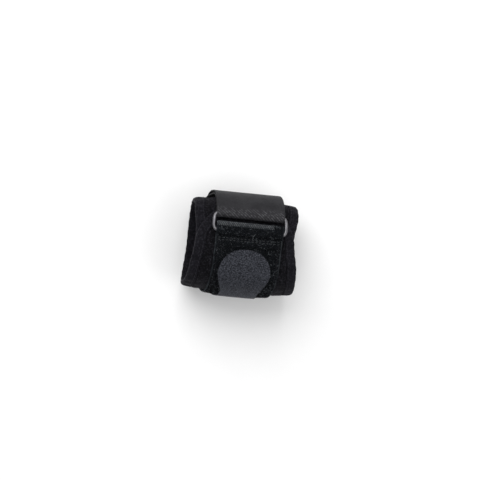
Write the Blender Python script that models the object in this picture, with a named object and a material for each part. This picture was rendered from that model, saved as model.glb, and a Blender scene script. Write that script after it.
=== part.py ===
"""A wrap-round wrist support, fastened as it is worn, at its real size in metres.

The hollow for the wrist runs along X, with the hand at -X. +Y is the thumb's side and +Z the palm's,
which faces up. The support lies on its flattened back, and the origin is under the middle of its box.

Every piece lies round the same hollow. A place is given by arc, the distance round the hollow's outline
from the middle of the palm side by way of +Y, and by lift, the distance outwards from that outline.
"""

import math

import bmesh
import bpy
import numpy as np
from mathutils import Vector

# Hollow for the wrist
HOLLOW_WIDTH = 0.0636
HOLLOW_DEPTH = 0.0430
BACK_TRIM = 0.0005
FRONT_SQUARENESS = 2.25
BACK_SQUARENESS = 2.8

# Wrap and its binding
WRAP_WIDTH = 0.0766
WRAP_WALL = 0.0030
EDGE_DRAW_IN = 0.0026
HAND_FLARE = 0.0034
ELBOW_FLARE = 0.0024
HAND_WAIST = 0.0017
ELBOW_WAIST = 0.0031
WAIST_RISE = 0.0070
WAIST_REACH = 0.0220
INNER_END = 0.0160
INNER_CORNER = 0.0100
LAYER_RAMP = 0.0200
TONGUE_SHOULDER_RISE = 0.0050
TONGUE_LENGTH = 0.0250
TONGUE_FULLNESS = 1.6
BINDING_FACE = 0.0070
BINDING_WALL = 0.0006
BINDING_GROOVE = 0.0010

# Strap, hook tab and loop panel
STRAP_WIDTH = 0.0494
STRAP_WALL = 0.0012
STRAP_ROOT = 0.0620
STRAP_DRIFT = 0.0015
STRAP_CREST = 0.0066
STRAP_SLOPE = 0.0042
TAPE_OFFSET = 0.0011
TAPE_SKEW = 0.0050
SKEW_THUMB_START = 0.0210
SKEW_FINGER_START = 0.0065
SKEW_END = 0.0750
TAB_OVERLAP = 0.0200
TAB_WALL = 0.0009
TAB_HEAD_WIDTH = 0.0382
TAB_HEAD_FULLNESS = 2.2
TAB_HEAD_LENGTH = 0.0170
TAB_NECK_REACH = 0.0400
TAB_NECK_WIDTH = 0.0276
TAB_ROOT_WIDTH = 0.0440
TAB_TIP_DROP = 0.0019
TAB_DRIFT = 0.0008
PANEL_WIDTH = 0.0488
PANEL_WALL = 0.0015
PANEL_FOLD_WALL = 0.0016
PANEL_FLAP_WALL = 0.0012
PANEL_END = 0.0240
PANEL_SEAM_RISE = 0.0074
PANEL_FOLD_RISE = 0.0146
PANEL_FLAP_RISE = 0.0020

# Ring
RING_WIRE = 0.0024
RING_PITCH = 0.0118
RING_CORNER = 0.0019
RING_BOW = 0.0046
LOWER_BAR_RISE = 0.0110

# Clearance between neighbours
GAP = 0.0003

# Fineness of the faceted sections
WRAP_COLUMNS = 8
PANEL_COLUMNS = 5
TAB_COLUMNS = 3
STRAP_COLUMNS = 2
TONGUE_TURNS = (14, 25, 35, 45, 54, 63, 72, 81)
TAB_TIP_SHARES = (0.30, 0.22, 0.15, 0.09, 0.045, 0.015)
SECTION_SPACING = 0.0080
SECTION_TURN = math.radians(12)
OUTLINE_SAMPLES = 1440

EDGE_SQUEEZE = BINDING_WALL + GAP
LAYER = WRAP_WALL + 2 * GAP
SEAT = WRAP_WALL + GAP


def superellipse(half_width, half_depth, squareness, angles):
    """Points (y, z) of a superellipse at these angles from +Z towards +Y."""
    power = 2 / squareness
    y = half_width * np.sign(np.sin(angles)) * np.abs(np.sin(angles)) ** power
    z = half_depth * np.sign(np.cos(angles)) * np.abs(np.cos(angles)) ** power
    return np.column_stack((y, z))


def smoothed(values, window):
    """A closed row of values, each made the mean of the window round it."""
    wrapped = np.concatenate((values[-window:], values, values[:window]))
    kernel = np.ones(2 * window + 1) / (2 * window + 1)
    return np.convolve(wrapped, kernel, mode="valid")


class Hollow:
    """The outline of the wrist's hollow, with its length and outward normals."""

    def __init__(self):
        angles = np.linspace(0, 2 * math.pi, 8 * OUTLINE_SAMPLES)
        front = superellipse(HOLLOW_WIDTH / 2, HOLLOW_DEPTH / 2, FRONT_SQUARENESS, angles)
        back = superellipse(HOLLOW_WIDTH / 2, HOLLOW_DEPTH / 2 + BACK_TRIM, BACK_SQUARENESS, angles)
        points = np.where(front[:, 1:] > 0, front, back)
        points[:, 1] = np.maximum(points[:, 1], -HOLLOW_DEPTH / 2)
        steps = np.hypot(*np.diff(points, axis=0).T)
        travelled = np.concatenate(([0], np.cumsum(steps)))
        even = np.linspace(0, travelled[-1], OUTLINE_SAMPLES, endpoint=False)
        y = np.interp(even, travelled, points[:, 0])
        z = np.interp(even, travelled, points[:, 1])
        window = OUTLINE_SAMPLES // 90
        slope_y = smoothed(np.roll(y, -1) - np.roll(y, 1), window)
        slope_z = smoothed(np.roll(z, -1) - np.roll(z, 1), window)
        size = np.hypot(slope_y, slope_z)
        self.length = travelled[-1]
        self.arcs = even
        self.columns = (y, z, -slope_z / size, slope_y / size)

    def read(self, arc):
        """Point and outward normal (y, z, normal y, normal z) at an arc."""
        return tuple(np.interp(arc, self.arcs, column, period=self.length) for column in self.columns)

    def at(self, arc, lift):
        """The point (y, z) at this arc and lift."""
        y, z, normal_y, normal_z = self.read(arc)
        return np.array((y + lift * normal_y, z + lift * normal_z))

    def arc_at_rise(self, rise, lift):
        """The arc on the palm side where a surface of this lift is this far towards +Y."""
        arcs = np.linspace(-self.length / 4, self.length / 4, OUTLINE_SAMPLES)
        rises = np.array([self.at(arc, lift)[0] for arc in arcs])
        return float(np.interp(rise, rises, arcs))


HOLLOW = Hollow()
BACK = HOLLOW.length / 2
FRONT = HOLLOW.length


def ease(value, start, end):
    """A smooth step from 0 at start to 1 at end."""
    share = np.clip((value - start) / (end - start), 0, 1)
    return share * share * (3 - 2 * share)


def draw_in(arc, x):
    """How far the band is drawn towards the wrist at this x, which is nothing on the flat back."""
    normal_z = HOLLOW.read(arc)[3]
    return EDGE_DRAW_IN * abs(2 * x / WRAP_WIDTH) ** 3 * min(1, 1 + normal_z)


def place(arc, x, lift):
    """A point on the band at this arc, x and lift."""
    y, z = HOLLOW.at(arc, lift - draw_in(arc, x))
    return (x, y, z)


def winding(arc):
    """Lift of the wrap's inner face: it climbs on to its own inner end on the way back to the palm."""
    foot = FRONT - INNER_END - GAP
    return LAYER * ease(arc, foot - LAYER_RAMP, foot)


def outer_layer(arc):
    """Lift of the inner face of whichever turn of the wrap lies outermost on the palm side."""
    return winding(arc + FRONT)


def stations(arcs, points):
    """Arcs of the sections: one for each length of SECTION_SPACING and each bend of SECTION_TURN."""
    steps = np.diff(points, axis=0)
    headings = np.unwrap(np.arctan2(steps[:, 1], steps[:, 0]))
    lengths = np.hypot(steps[:, 0], steps[:, 1])
    turns = np.abs(np.diff(headings, prepend=headings[0]))
    measure = np.concatenate(([0], np.cumsum(lengths / SECTION_SPACING + turns / SECTION_TURN)))
    count = math.ceil(measure[-1])
    return np.interp(np.linspace(0, measure[-1], count + 1), measure, arcs)


# Meshes


def new_material(name, colour, roughness, metallic=0.0):
    material = bpy.data.materials.new(name)
    material.use_nodes = True
    shader = material.node_tree.nodes["Principled BSDF"]
    shader.inputs["Base Color"].default_value = (*colour, 1)
    shader.inputs["Roughness"].default_value = roughness
    shader.inputs["Metallic"].default_value = metallic
    return material


def new_solid(name, points, faces, material):
    """An object from its points and faces, with every face turned outwards."""
    mesh = bpy.data.meshes.new(name)
    mesh.from_pydata([tuple(float(value) for value in point) for point in points], [], faces)
    mesh.materials.append(material)
    work = bmesh.new()
    work.from_mesh(mesh)
    bmesh.ops.recalc_face_normals(work, faces=work.faces)
    work.to_mesh(mesh)
    work.free()
    mesh.shade_smooth()
    mesh.set_sharp_from_angle(angle=math.radians(40))
    solid = bpy.data.objects.new(name, mesh)
    bpy.context.scene.collection.objects.link(solid)
    return solid


def band_faces(first, second):
    """Four-sided faces between two closed rows of point numbers."""
    count = len(first)
    return [
        (first[i], first[(i + 1) % count], second[(i + 1) % count], second[i])
        for i in range(count)
    ]


def band_triangles(first, second):
    """Triangles between two closed rows, so that two solids with the same rows fold alike."""
    count = len(first)
    faces = []
    for i in range(count):
        following = (i + 1) % count
        faces.append((first[i], first[following], second[following]))
        faces.append((first[i], second[following], second[i]))
    return faces


def swept(name, sections, material):
    """A solid with flat ends through sections of as many points each."""
    size = len(sections[0])
    rows = [list(range(i * size, (i + 1) * size)) for i in range(len(sections))]
    faces = []
    for row, following in zip(rows, rows[1:]):
        faces += band_faces(row, following)
    faces += [tuple(rows[0]), tuple(reversed(rows[-1]))]
    points = [point for section in sections for point in section]
    return new_solid(name, points, faces, material)


# Wrap


def wrap_half_edge():
    """(arc, half width) along one side of the wrap, from its inner end to the tongue's tip."""
    half = WRAP_WIDTH / 2
    start = -INNER_END
    shoulder = FRONT + HOLLOW.arc_at_rise(TONGUE_SHOULDER_RISE, LAYER + WRAP_WALL)
    corner = [
        (start + INNER_CORNER * (1 - math.cos(turn)), half - INNER_CORNER * (1 - math.sin(turn)))
        for turn in np.radians((0, 30, 60))
    ]
    arcs = np.linspace(start + INNER_CORNER, shoulder, OUTLINE_SAMPLES)
    points = np.array([HOLLOW.at(arc, winding(arc)) for arc in arcs])
    straight = [(arc, half) for arc in stations(arcs, points)]
    tongue = [
        (shoulder + TONGUE_LENGTH * math.sin(turn) ** (2 / TONGUE_FULLNESS), half * math.cos(turn))
        for turn in np.radians(TONGUE_TURNS)
    ]
    return corner + straight + tongue


def flare(arc):
    """Share of the flare by which both edges reach further on the side away from the thumb."""
    return 1 - ease(abs(arc - 0.75 * FRONT), 0, FRONT / 4)


def waist(arc):
    """Share of the waist that the strap pulls into both turns of the band, beside the ring."""
    middle = HOLLOW.arc_at_rise(WAIST_RISE, LAYER + WRAP_WALL)
    return 1 - ease(min(abs(arc - middle), abs(arc - FRONT - middle)), 0, WAIST_REACH)


def wrap_outline(columns):
    """The finished edge as a closed row of (arc, x): the elbow's side, the tongue's end, the hand's
    side and the inner end. Each end is cut into as many columns."""
    side = wrap_half_edge()
    near = []
    far = []
    for arc, half in side:
        elbow_reach = ELBOW_FLARE * flare(arc) - ELBOW_WAIST * waist(arc)
        hand_reach = HAND_FLARE * flare(arc) - HAND_WAIST * waist(arc)
        near.append((arc, half * (1 + elbow_reach * 2 / WRAP_WIDTH)))
        far.append((arc, -half * (1 + hand_reach * 2 / WRAP_WIDTH)))
    tip = [(near[-1][0], x) for x in np.linspace(near[-1][1], far[-1][1], columns + 1)[1:-1]]
    root = [(near[0][0], x) for x in np.linspace(far[0][1], near[0][1], columns + 1)[1:-1]]
    return np.array(near + tip + far[::-1] + root), len(side)


def inset(outline, distance):
    """The outline moved inwards by a distance."""
    before = np.roll(outline, 1, axis=0)
    after = np.roll(outline, -1, axis=0)
    into = outline - before
    out = after - outline
    into = into / np.hypot(into[:, :1], into[:, 1:])
    out = out / np.hypot(out[:, :1], out[:, 1:])
    heading = into + out
    heading = heading / np.hypot(heading[:, :1], heading[:, 1:])
    stretch = np.maximum(0.7, np.sum(heading * into, axis=1, keepdims=True))
    return outline + distance / stretch * np.column_stack((heading[:, 1], -heading[:, 0]))


def make_wrap(material):
    """The foam-rubber band: a grid on each face, squeezed thin inside the binding."""
    outline, side = wrap_outline(WRAP_COLUMNS)
    edge = inset(outline, EDGE_SQUEEZE)
    seam = inset(outline, BINDING_FACE)
    field = inset(outline, BINDING_FACE + BINDING_GROOVE)
    points = []
    faces = []

    def add_row(row, squeeze, outside):
        first = len(points)
        for arc, x in row:
            lift = winding(arc) + (WRAP_WALL - squeeze if outside else squeeze)
            points.append(place(arc, x, lift))
        return list(range(first, first + len(row)))

    rims = []
    for outside in (True, False):
        rim = add_row(edge, EDGE_SQUEEZE, outside)
        sewn = add_row(seam, EDGE_SQUEEZE, outside)
        full = add_row(field, 0, outside)
        faces += band_triangles(rim, sewn) + band_faces(sewn, full)
        rims.append(rim)
        tip = full[side : side + WRAP_COLUMNS - 1]
        far = full[side + WRAP_COLUMNS - 1 : 2 * side + WRAP_COLUMNS - 1][::-1]
        root = full[2 * side + WRAP_COLUMNS - 1 :][::-1]
        grid = []
        for i in range(side):
            near_place = field[i]
            far_place = field[2 * side + WRAP_COLUMNS - 2 - i]
            if i == 0:
                middle = root
            elif i == side - 1:
                middle = tip
            else:
                shares = [k / WRAP_COLUMNS for k in range(1, WRAP_COLUMNS)]
                row = [near_place + share * (far_place - near_place) for share in shares]
                middle = add_row(row, 0, outside)
            grid.append([full[i], *middle, far[i]])
        for row, following in zip(grid, grid[1:]):
            for k in range(WRAP_COLUMNS):
                faces.append((row[k], row[k + 1], following[k + 1], following[k]))
    faces += band_faces(rims[0], rims[1])
    return new_solid("neoprene_wrap", points, faces, material)


def make_binding(material):
    """Tape folded over the whole edge: a U-shaped section swept round the outline."""
    outline, _ = wrap_outline(WRAP_COLUMNS)
    lip = BINDING_WALL / 2
    inner = EDGE_SQUEEZE - GAP
    face_profile = (
        (BINDING_WALL, inner),
        (BINDING_FACE, inner),
        (BINDING_FACE - lip, 0),
        (BINDING_WALL, 0),
        (0, BINDING_WALL),
    )
    points = []
    faces = []
    sides = []
    for outside in (True, False):
        rows = []
        for distance, depth in face_profile:
            rows.append(list(range(len(points), len(points) + len(outline))))
            for arc, x in inset(outline, distance):
                lift = winding(arc) + (WRAP_WALL - depth if outside else depth)
                points.append(place(arc, x, lift))
        for row, following in zip(rows, rows[1:]):
            faces += band_triangles(row, following)
        sides.append(rows)
    faces += band_faces(sides[0][-1], sides[1][-1])
    faces += band_faces(sides[0][0], sides[1][0])
    return new_solid("edge_binding", points, faces, material)


# Tapes: strap, tab and panel


class Path:
    """The middle line of a tape in the (y, z) plane, as a dense row of points with lengths."""

    def __init__(self):
        self.points = []
        self.arcs = []
        self.walls = []

    def follow(self, arcs, lift_of, wall_of):
        """Adds points along the hollow, with the tape's inner face at the lift given."""
        for arc in arcs:
            wall = wall_of(arc)
            self.add(arc, HOLLOW.at(arc, lift_of(arc) + wall / 2), wall)

    def add(self, arc, point, wall):
        self.points.append(point)
        self.arcs.append(arc)
        self.walls.append(wall)

    def turn_round(self, arc, centre_lift, reach, outside, toward, walls):
        """Adds half a turn about a place, starting outside it (+1) or inside it (-1), by way of
        greater arcs (toward +1) or lesser ones (-1)."""
        centre = HOLLOW.at(arc, centre_lift)
        normal = np.array(HOLLOW.read(arc)[2:])
        along = np.array((normal[1], -normal[0]))
        for share in np.linspace(0, 1, 25)[1:-1]:
            turn = math.pi * share
            point = centre + reach * (outside * math.cos(turn) * normal + toward * math.sin(turn) * along)
            self.add(arc, point, walls[0] + (walls[1] - walls[0]) * share)

    def sections(self, tip_steps):
        """(point, normal, wall, arc, length travelled) at each section, and the whole length.
        The last sections lie at the given distances from the path's end."""
        points = np.array(self.points)
        steps = np.hypot(*np.diff(points, axis=0).T)
        travelled = np.concatenate(([0], np.cumsum(steps)))
        heading = np.gradient(points, travelled, axis=0)
        heading = heading / np.hypot(heading[:, :1], heading[:, 1:])
        total = travelled[-1]
        lengths = stations(travelled, points)
        if tip_steps:
            evenly = lengths[lengths < total - tip_steps[0] - GAP]
            lengths = np.concatenate((evenly, total - np.array(tip_steps), [total]))
        found = []
        for length in lengths:
            y, z, head_y, head_z, wall, arc = (
                float(np.interp(length, travelled, column))
                for column in (*points.T, *heading.T, self.walls, self.arcs)
            )
            found.append((np.array((y, z)), np.array((-head_z, head_y)), wall, arc, length))
        return found, total


def skew(arc):
    """How far towards the hand the tapes lie at an arc: not at all on the palm side, and wholly on
    the back."""
    turned = (arc + BACK) % FRONT - BACK
    start = SKEW_THUMB_START if turned > 0 else SKEW_FINGER_START
    return TAPE_SKEW * ease(abs(turned), start, SKEW_END)


def tape(name, path, half_width_of, drift_of, columns, follows_of, material, tip_steps=()):
    """A tape of the path's wall. Its width and its own drift towards the hand are given by the
    length travelled, and the share of the band's curve across its width that it follows by the arc."""
    edge = GAP
    sections = []
    found, total = path.sections(tip_steps)
    for point, normal, wall, arc, length in found:
        half = half_width_of(length, total)
        middle = TAPE_OFFSET - skew(arc) - drift_of(length, total)

        def corner(x, side):
            sag = draw_in(arc, x) * follows_of(arc)
            inward = np.array(HOLLOW.read(arc)[2:])
            y, z = point + side * wall / 2 * normal - sag * inward
            return (x, y, z)

        shares = [2 * k / (columns - 1) - 1 for k in range(columns)]
        section = [corner(middle + share * (half - edge), 1) for share in shares]
        section.append(corner(middle + half, 0))
        section += [corner(middle + share * (half - edge), -1) for share in reversed(shares)]
        section.append(corner(middle - half, 0))
        sections.append(section)
    return swept(name, sections, material)


def bar_places():
    """(arc, lift) of the ring's lower and upper bar, which lie a pitch apart on the flap and strap."""
    lift = outer_layer(0) + SEAT + PANEL_FLAP_WALL + GAP + RING_WIRE / 2
    lower = HOLLOW.arc_at_rise(LOWER_BAR_RISE, lift)
    start = HOLLOW.at(lower, lift)
    arcs = np.linspace(lower, lower + 2 * RING_PITCH, OUTLINE_SAMPLES)
    reach = np.array([np.hypot(*(HOLLOW.at(arc, lift) - start)) for arc in arcs])
    upper = float(np.interp(RING_PITCH, reach, arcs))
    return (lower, lift), (upper, lift)


def make_strap(material):
    """Webbing sewn on behind the thumb's side a little towards the hand, turned round the upper bar
    and led back over itself."""
    _, (bar, bar_lift) = bar_places()
    top = FRONT / 4
    tongue_tip = wrap_half_edge()[-1][0] - FRONT
    over_wrap = SEAT
    over_tongue = outer_layer(0) + SEAT
    fold = RING_WIRE / 2 + GAP + STRAP_WALL / 2
    over_bar = bar_lift + fold - STRAP_WALL / 2
    over_root = SEAT + STRAP_WALL + GAP

    def inner_pass(arc):
        climb = ease(-arc, -top - STRAP_SLOPE, -tongue_tip)
        return over_wrap + (over_tongue - over_wrap) * climb

    def outer_pass(arc):
        down = ease(arc, bar, top)
        settled = ease(arc, top, STRAP_ROOT)
        seated = ease(arc, STRAP_ROOT + GAP, STRAP_ROOT + 2 * STRAP_SLOPE)
        lift = over_bar + (STRAP_CREST - over_bar) * down
        lift += (over_root - STRAP_CREST) * settled
        return lift + (SEAT - over_root) * seated

    path = Path()
    path.follow(np.linspace(STRAP_ROOT, bar, 160), inner_pass, lambda arc: STRAP_WALL)
    path.turn_round(bar, bar_lift, fold, -1, -1, (STRAP_WALL, STRAP_WALL))
    end = BACK + TAB_OVERLAP / 2
    path.follow(np.linspace(bar, end, 400), outer_pass, lambda arc: STRAP_WALL)
    return tape(
        "strap", path,
        lambda length, total: STRAP_WIDTH / 2,
        lambda length, total: STRAP_DRIFT * (1 - ease(length, 0, STRAP_ROOT - bar)),
        STRAP_COLUMNS, lambda arc: 0, material,
    )


def panel_lift(arc):
    """Lift of the panel's inner face where it lies on the wrap."""
    return outer_layer(arc) + SEAT


def make_panel(material):
    """Loop pile from the back round to the palm, folded round the lower bar with its flap beneath."""
    (bar, bar_lift), _ = bar_places()
    on_wrap = panel_lift(0)
    on_flap = on_wrap + PANEL_FLAP_WALL + GAP
    on_bar = bar_lift + RING_WIRE / 2 + GAP
    flap_end = HOLLOW.arc_at_rise(PANEL_FLAP_RISE, on_wrap)
    seam = HOLLOW.arc_at_rise(PANEL_SEAM_RISE, on_flap)
    fold = HOLLOW.arc_at_rise(PANEL_FOLD_RISE, bar_lift)

    def front_lift(arc):
        lift = panel_lift(arc)
        lift += (on_flap - on_wrap) * ease(arc, flap_end - 2 * PANEL_WALL, flap_end - GAP)
        return lift + (on_bar - on_flap) * ease(arc, seam - PANEL_WALL / 2, bar - RING_WIRE / 4)

    def front_wall(arc):
        return PANEL_WALL + (PANEL_FOLD_WALL - PANEL_WALL) * ease(arc, seam, bar)

    path = Path()
    path.follow(np.linspace(PANEL_END - BACK, fold, 500), front_lift, front_wall)
    front_middle = on_bar + PANEL_FOLD_WALL / 2
    flap_middle = on_wrap + PANEL_FLAP_WALL / 2
    reach = (front_middle - flap_middle) / 2
    middle = (front_middle + flap_middle) / 2
    path.turn_round(fold, middle, reach, 1, 1, (PANEL_FOLD_WALL, PANEL_FLAP_WALL))
    path.follow(np.linspace(fold, flap_end, 80), lambda arc: on_wrap, lambda arc: PANEL_FLAP_WALL)
    return tape(
        "loop_panel", path,
        lambda length, total: PANEL_WIDTH / 2,
        lambda length, total: 0,
        PANEL_COLUMNS, lambda arc: 1 - ease(arc, seam, bar - RING_WIRE / 2), material,
    )


def tab_half_width(from_tip, total):
    """Half width of the tab at a distance from its tip: a round head, a neck and a wide root."""
    head = TAB_HEAD_WIDTH / 2
    rounding = 1 - (1 - min(1, from_tip / head)) ** TAB_HEAD_FULLNESS
    rounded = max(GAP, head * rounding ** (1 / TAB_HEAD_FULLNESS))
    root = total - TAB_OVERLAP
    narrow = (head - TAB_NECK_WIDTH / 2) * ease(from_tip, TAB_HEAD_LENGTH, TAB_NECK_REACH)
    widen = (TAB_ROOT_WIDTH - TAB_NECK_WIDTH) / 2 * ease(from_tip, TAB_NECK_REACH, root)
    return rounded - narrow + widen


def make_tab(material):
    """Hook tape sewn under the strap's end, led round to the palm and pressed on the panel."""
    over_strap = SEAT + STRAP_WALL + GAP
    on_panel = PANEL_WALL + GAP
    tip = HOLLOW.arc_at_rise(-TAB_TIP_DROP, panel_lift(0) + on_panel)
    start = -BACK - TAB_OVERLAP / 2
    panel_start = PANEL_END - BACK

    def lift(arc):
        settled = ease(arc, -BACK + TAB_OVERLAP / 2, panel_start)
        return over_strap + (SEAT + on_panel - over_strap) * settled + panel_lift(arc) - SEAT

    path = Path()
    path.follow(np.linspace(start, tip, 500), lift, lambda arc: TAB_WALL)
    return tape(
        "hook_tab", path,
        lambda length, total: tab_half_width(total - length, total),
        lambda length, total: TAB_DRIFT * ease(length, total / 2, total),
        TAB_COLUMNS, lambda arc: 1, material,
        tip_steps=[share * TAB_HEAD_WIDTH for share in TAB_TIP_SHARES],
    )


# Ring


def make_ring(material):
    """A closed wire: two long bars joined by bowed ends."""
    lower, upper = (HOLLOW.at(*place_of) for place_of in bar_places())
    up = (upper - lower) / np.hypot(*(upper - lower))
    middle = (upper + lower) / 2
    half_width = STRAP_WIDTH / 2 + GAP + RING_WIRE / 2
    half_height = RING_PITCH / 2
    points = []
    for side_x, side_up, first in ((1, 1, 0), (-1, 1, 90), (-1, -1, 180), (1, -1, 270)):
        centre_x = side_x * (half_width - RING_CORNER)
        centre_up = side_up * (half_height - RING_BOW)
        for turn in np.radians(np.linspace(first, first + 90, 6)):
            x = centre_x + RING_CORNER * math.cos(turn)
            rise = centre_up + RING_BOW * math.sin(turn)
            y, z = middle + rise * up
            points.append((TAPE_OFFSET + x, y, z))
    curve = bpy.data.curves.new("ring", "CURVE")
    curve.dimensions = "3D"
    curve.bevel_depth = RING_WIRE / 2
    curve.bevel_resolution = 3
    spline = curve.splines.new("POLY")
    spline.points.add(len(points) - 1)
    for spot, point in zip(spline.points, points):
        spot.co = (*point, 1)
    spline.use_cyclic_u = True
    curve.materials.append(material)
    ring = bpy.data.objects.new("ring", curve)
    bpy.context.scene.collection.objects.link(ring)
    return ring


def rest_on_origin(solids):
    """Moves every solid so that the origin lies under the middle of the whole box."""
    bpy.context.view_layer.update()
    corners = np.array([corner for solid in solids for corner in solid.bound_box])
    low = corners.min(axis=0)
    high = corners.max(axis=0)
    shift = Vector((-(low[0] + high[0]) / 2, -(low[1] + high[1]) / 2, -low[2]))
    for solid in solids:
        solid.location = solid.location + shift


def main():
    for leftover in list(bpy.data.objects):
        bpy.data.objects.remove(leftover)
    neoprene = new_material("neoprene", (0.014, 0.013, 0.018), 0.75)
    knit = new_material("binding_knit", (0.020, 0.018, 0.026), 0.8)
    pile = new_material("loop_pile", (0.010, 0.012, 0.015), 0.95)
    webbing = new_material("webbing", (0.045, 0.045, 0.050), 0.6)
    hook = new_material("hook_tape", (0.038, 0.042, 0.055), 0.65)
    steel = new_material("ring_metal", (0.62, 0.61, 0.63), 0.28, 1.0)
    rest_on_origin(
        [
            make_wrap(neoprene),
            make_binding(knit),
            make_panel(pile),
            make_ring(steel),
            make_strap(webbing),
            make_tab(hook),
        ]
    )


main()
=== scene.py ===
"""Looks of the wrist support, laid round the same hollow as the model's solids, in metres.

A place is given by arc, the distance round the hollow's outline from the middle of the palm side by
way of +Y, by x along the arm, and by lift, the distance outwards from the outline.
"""

import math

import bmesh
import bpy
import numpy as np
from mathutils import Matrix, Vector


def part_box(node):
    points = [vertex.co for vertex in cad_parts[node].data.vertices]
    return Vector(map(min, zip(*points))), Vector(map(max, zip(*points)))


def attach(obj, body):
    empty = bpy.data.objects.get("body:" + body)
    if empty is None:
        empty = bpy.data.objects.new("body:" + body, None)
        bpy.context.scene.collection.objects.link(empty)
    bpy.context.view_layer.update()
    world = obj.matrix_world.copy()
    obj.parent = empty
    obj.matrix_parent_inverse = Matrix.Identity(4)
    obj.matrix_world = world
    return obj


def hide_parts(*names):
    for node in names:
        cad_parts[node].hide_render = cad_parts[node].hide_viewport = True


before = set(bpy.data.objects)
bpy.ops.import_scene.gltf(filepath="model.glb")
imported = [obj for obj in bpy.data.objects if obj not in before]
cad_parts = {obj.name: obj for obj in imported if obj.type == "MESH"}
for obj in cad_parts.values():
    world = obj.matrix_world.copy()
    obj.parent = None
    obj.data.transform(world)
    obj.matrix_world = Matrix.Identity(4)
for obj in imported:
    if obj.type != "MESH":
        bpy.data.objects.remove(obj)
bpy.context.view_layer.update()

# Sizes shared with the model
HOLLOW_WIDTH = 0.0636
HOLLOW_DEPTH = 0.0430
BACK_TRIM = 0.0005
FRONT_SQUARENESS = 2.25
BACK_SQUARENESS = 2.8
WRAP_WIDTH = 0.0766
WRAP_WALL = 0.0030
EDGE_DRAW_IN = 0.0026
HAND_FLARE = 0.0034
ELBOW_FLARE = 0.0024
HAND_WAIST = 0.0017
ELBOW_WAIST = 0.0031
WAIST_RISE = 0.0070
WAIST_REACH = 0.0220
INNER_END = 0.0160
INNER_CORNER = 0.0100
LAYER_RAMP = 0.0200
TONGUE_SHOULDER_RISE = 0.0050
TONGUE_LENGTH = 0.0250
TONGUE_FULLNESS = 1.6
TONGUE_TURNS = (14, 25, 35, 45, 54, 63, 72, 81)
BINDING_FACE = 0.0070
BINDING_WALL = 0.0006
BINDING_GROOVE = 0.0010
STRAP_WIDTH = 0.0494
STRAP_WALL = 0.0012
STRAP_ROOT = 0.0620
STRAP_DRIFT = 0.0015
STRAP_CREST = 0.0066
STRAP_SLOPE = 0.0042
TAPE_OFFSET = 0.0011
TAPE_SKEW = 0.0050
SKEW_THUMB_START = 0.0210
SKEW_FINGER_START = 0.0065
SKEW_END = 0.0750
TAB_OVERLAP = 0.0200
TAB_WALL = 0.0009
TAB_HEAD_WIDTH = 0.0382
TAB_HEAD_FULLNESS = 2.2
TAB_HEAD_LENGTH = 0.0170
TAB_NECK_REACH = 0.0400
TAB_NECK_WIDTH = 0.0276
TAB_ROOT_WIDTH = 0.0440
TAB_TIP_DROP = 0.0019
TAB_DRIFT = 0.0008
PANEL_WIDTH = 0.0488
PANEL_WALL = 0.0015
PANEL_FOLD_WALL = 0.0016
PANEL_FLAP_WALL = 0.0012
PANEL_END = 0.0240
PANEL_SEAM_RISE = 0.0074
PANEL_FOLD_RISE = 0.0146
PANEL_FLAP_RISE = 0.0020
RING_WIRE = 0.0024
RING_PITCH = 0.0118
RING_CORNER = 0.0019
RING_BOW = 0.0046
LOWER_BAR_RISE = 0.0110
GAP = 0.0003
OUTLINE_SAMPLES = 1440
EDGE_SQUEEZE = BINDING_WALL + GAP
LAYER = WRAP_WALL + 2 * GAP
SEAT = WRAP_WALL + GAP

# Fineness of the cloth
CLOTH_CELL = 0.0009
BINDING_CELL = 0.00062
TAPE_CELL = 0.0006
TAPE_TURN = math.radians(7)
END_STEPS = 8
END_COLUMNS = 60
WIRE_SIDES = 24
CORNER_STEPS = 14
THREAD_SIDES = 6
MM = 0.001

# Relief of the cloth, in metres, and the seeds of its gathers
GATHER_PITCH = 0.0061
GATHER_DEPTH = 0.00032
GATHER_REACH = 0.0028
GATHER_SEED = 5
HEM_SEED = 8
PRESS_DEPTH = 0.00035
PRESS_REACH = 0.0035
PUFF = 0.00022
HEM_WAVE = 0.00018
BINDING_VALLEY = 0.0005
PANEL_VALLEY = 0.0006

# Lumps of each cloth: their depth and width in metres, and the seed of their noise
JERSEY_FOLDS = (0.00020, 0.0065, 11)
JERSEY_CREASES = (0.00010, 0.0027, 12)
BINDING_LUMPS = (0.00009, 0.0034, 21)
STRAP_WAVES = (0.00010, 0.009, 31)
GROUND_GRAIN = (0.00010, 0.0011, 41)
GROUND_LUMPS = (0.00012, 0.0042, 42)
PANEL_BACK = (0.00004, 0.003, 43)
TAB_WAVES = (0.00012, 0.0075, 51)
TAB_GRAIN = (0.00003, 0.0016, 52)
CREST_WANDER = (0.0001, 0.004, 71)
CREST_LUMPS = (0.00008, 0.0016, 72)

# Thread, pile and hooks
THREAD = 0.00034
SEAM_THREAD = 0.00044
EDGE_THREAD = 0.00032
LOOSE_THREAD = 0.00030
STITCH_LENGTH = 0.0024
STITCH_SPACE = 0.0007
SEAM_STITCH_LENGTH = 0.0014
SEAM_STITCH_SPACE = 0.0012
BINDING_STITCH_SPACE = 0.0006
STITCH_RISE = 0.00014
SEAM_INSET = 0.0013
SEAM_ROWS = (0.0021, 0.0036)
EDGE_ROW_INSET = 0.0024
SELVEDGE = 0.0011
PILE_HEIGHT = 0.00055
PILE_LOOPS = 8000
PALM_PILE_START = -0.020
PILE_UNDER_TAB = 0.0018
LOOP_SIDES = 3
LOOP_RISE = 0.00045
LOOP_SPANS = (0.00035, 0.0009)
LOOP_RADII = (0.00005, 0.00009)
CREST_WIDTH = 0.0034
CREST_LENGTH = 0.0415
CREST_START = -0.0011
CREST_MARGIN = 0.0003
CREST_HEIGHT = 0.00045
CREST_RIB_PITCH = 0.0016
CREST_RIB_HEIGHT = 0.00034
HOOK_PITCH = 0.00055
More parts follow.
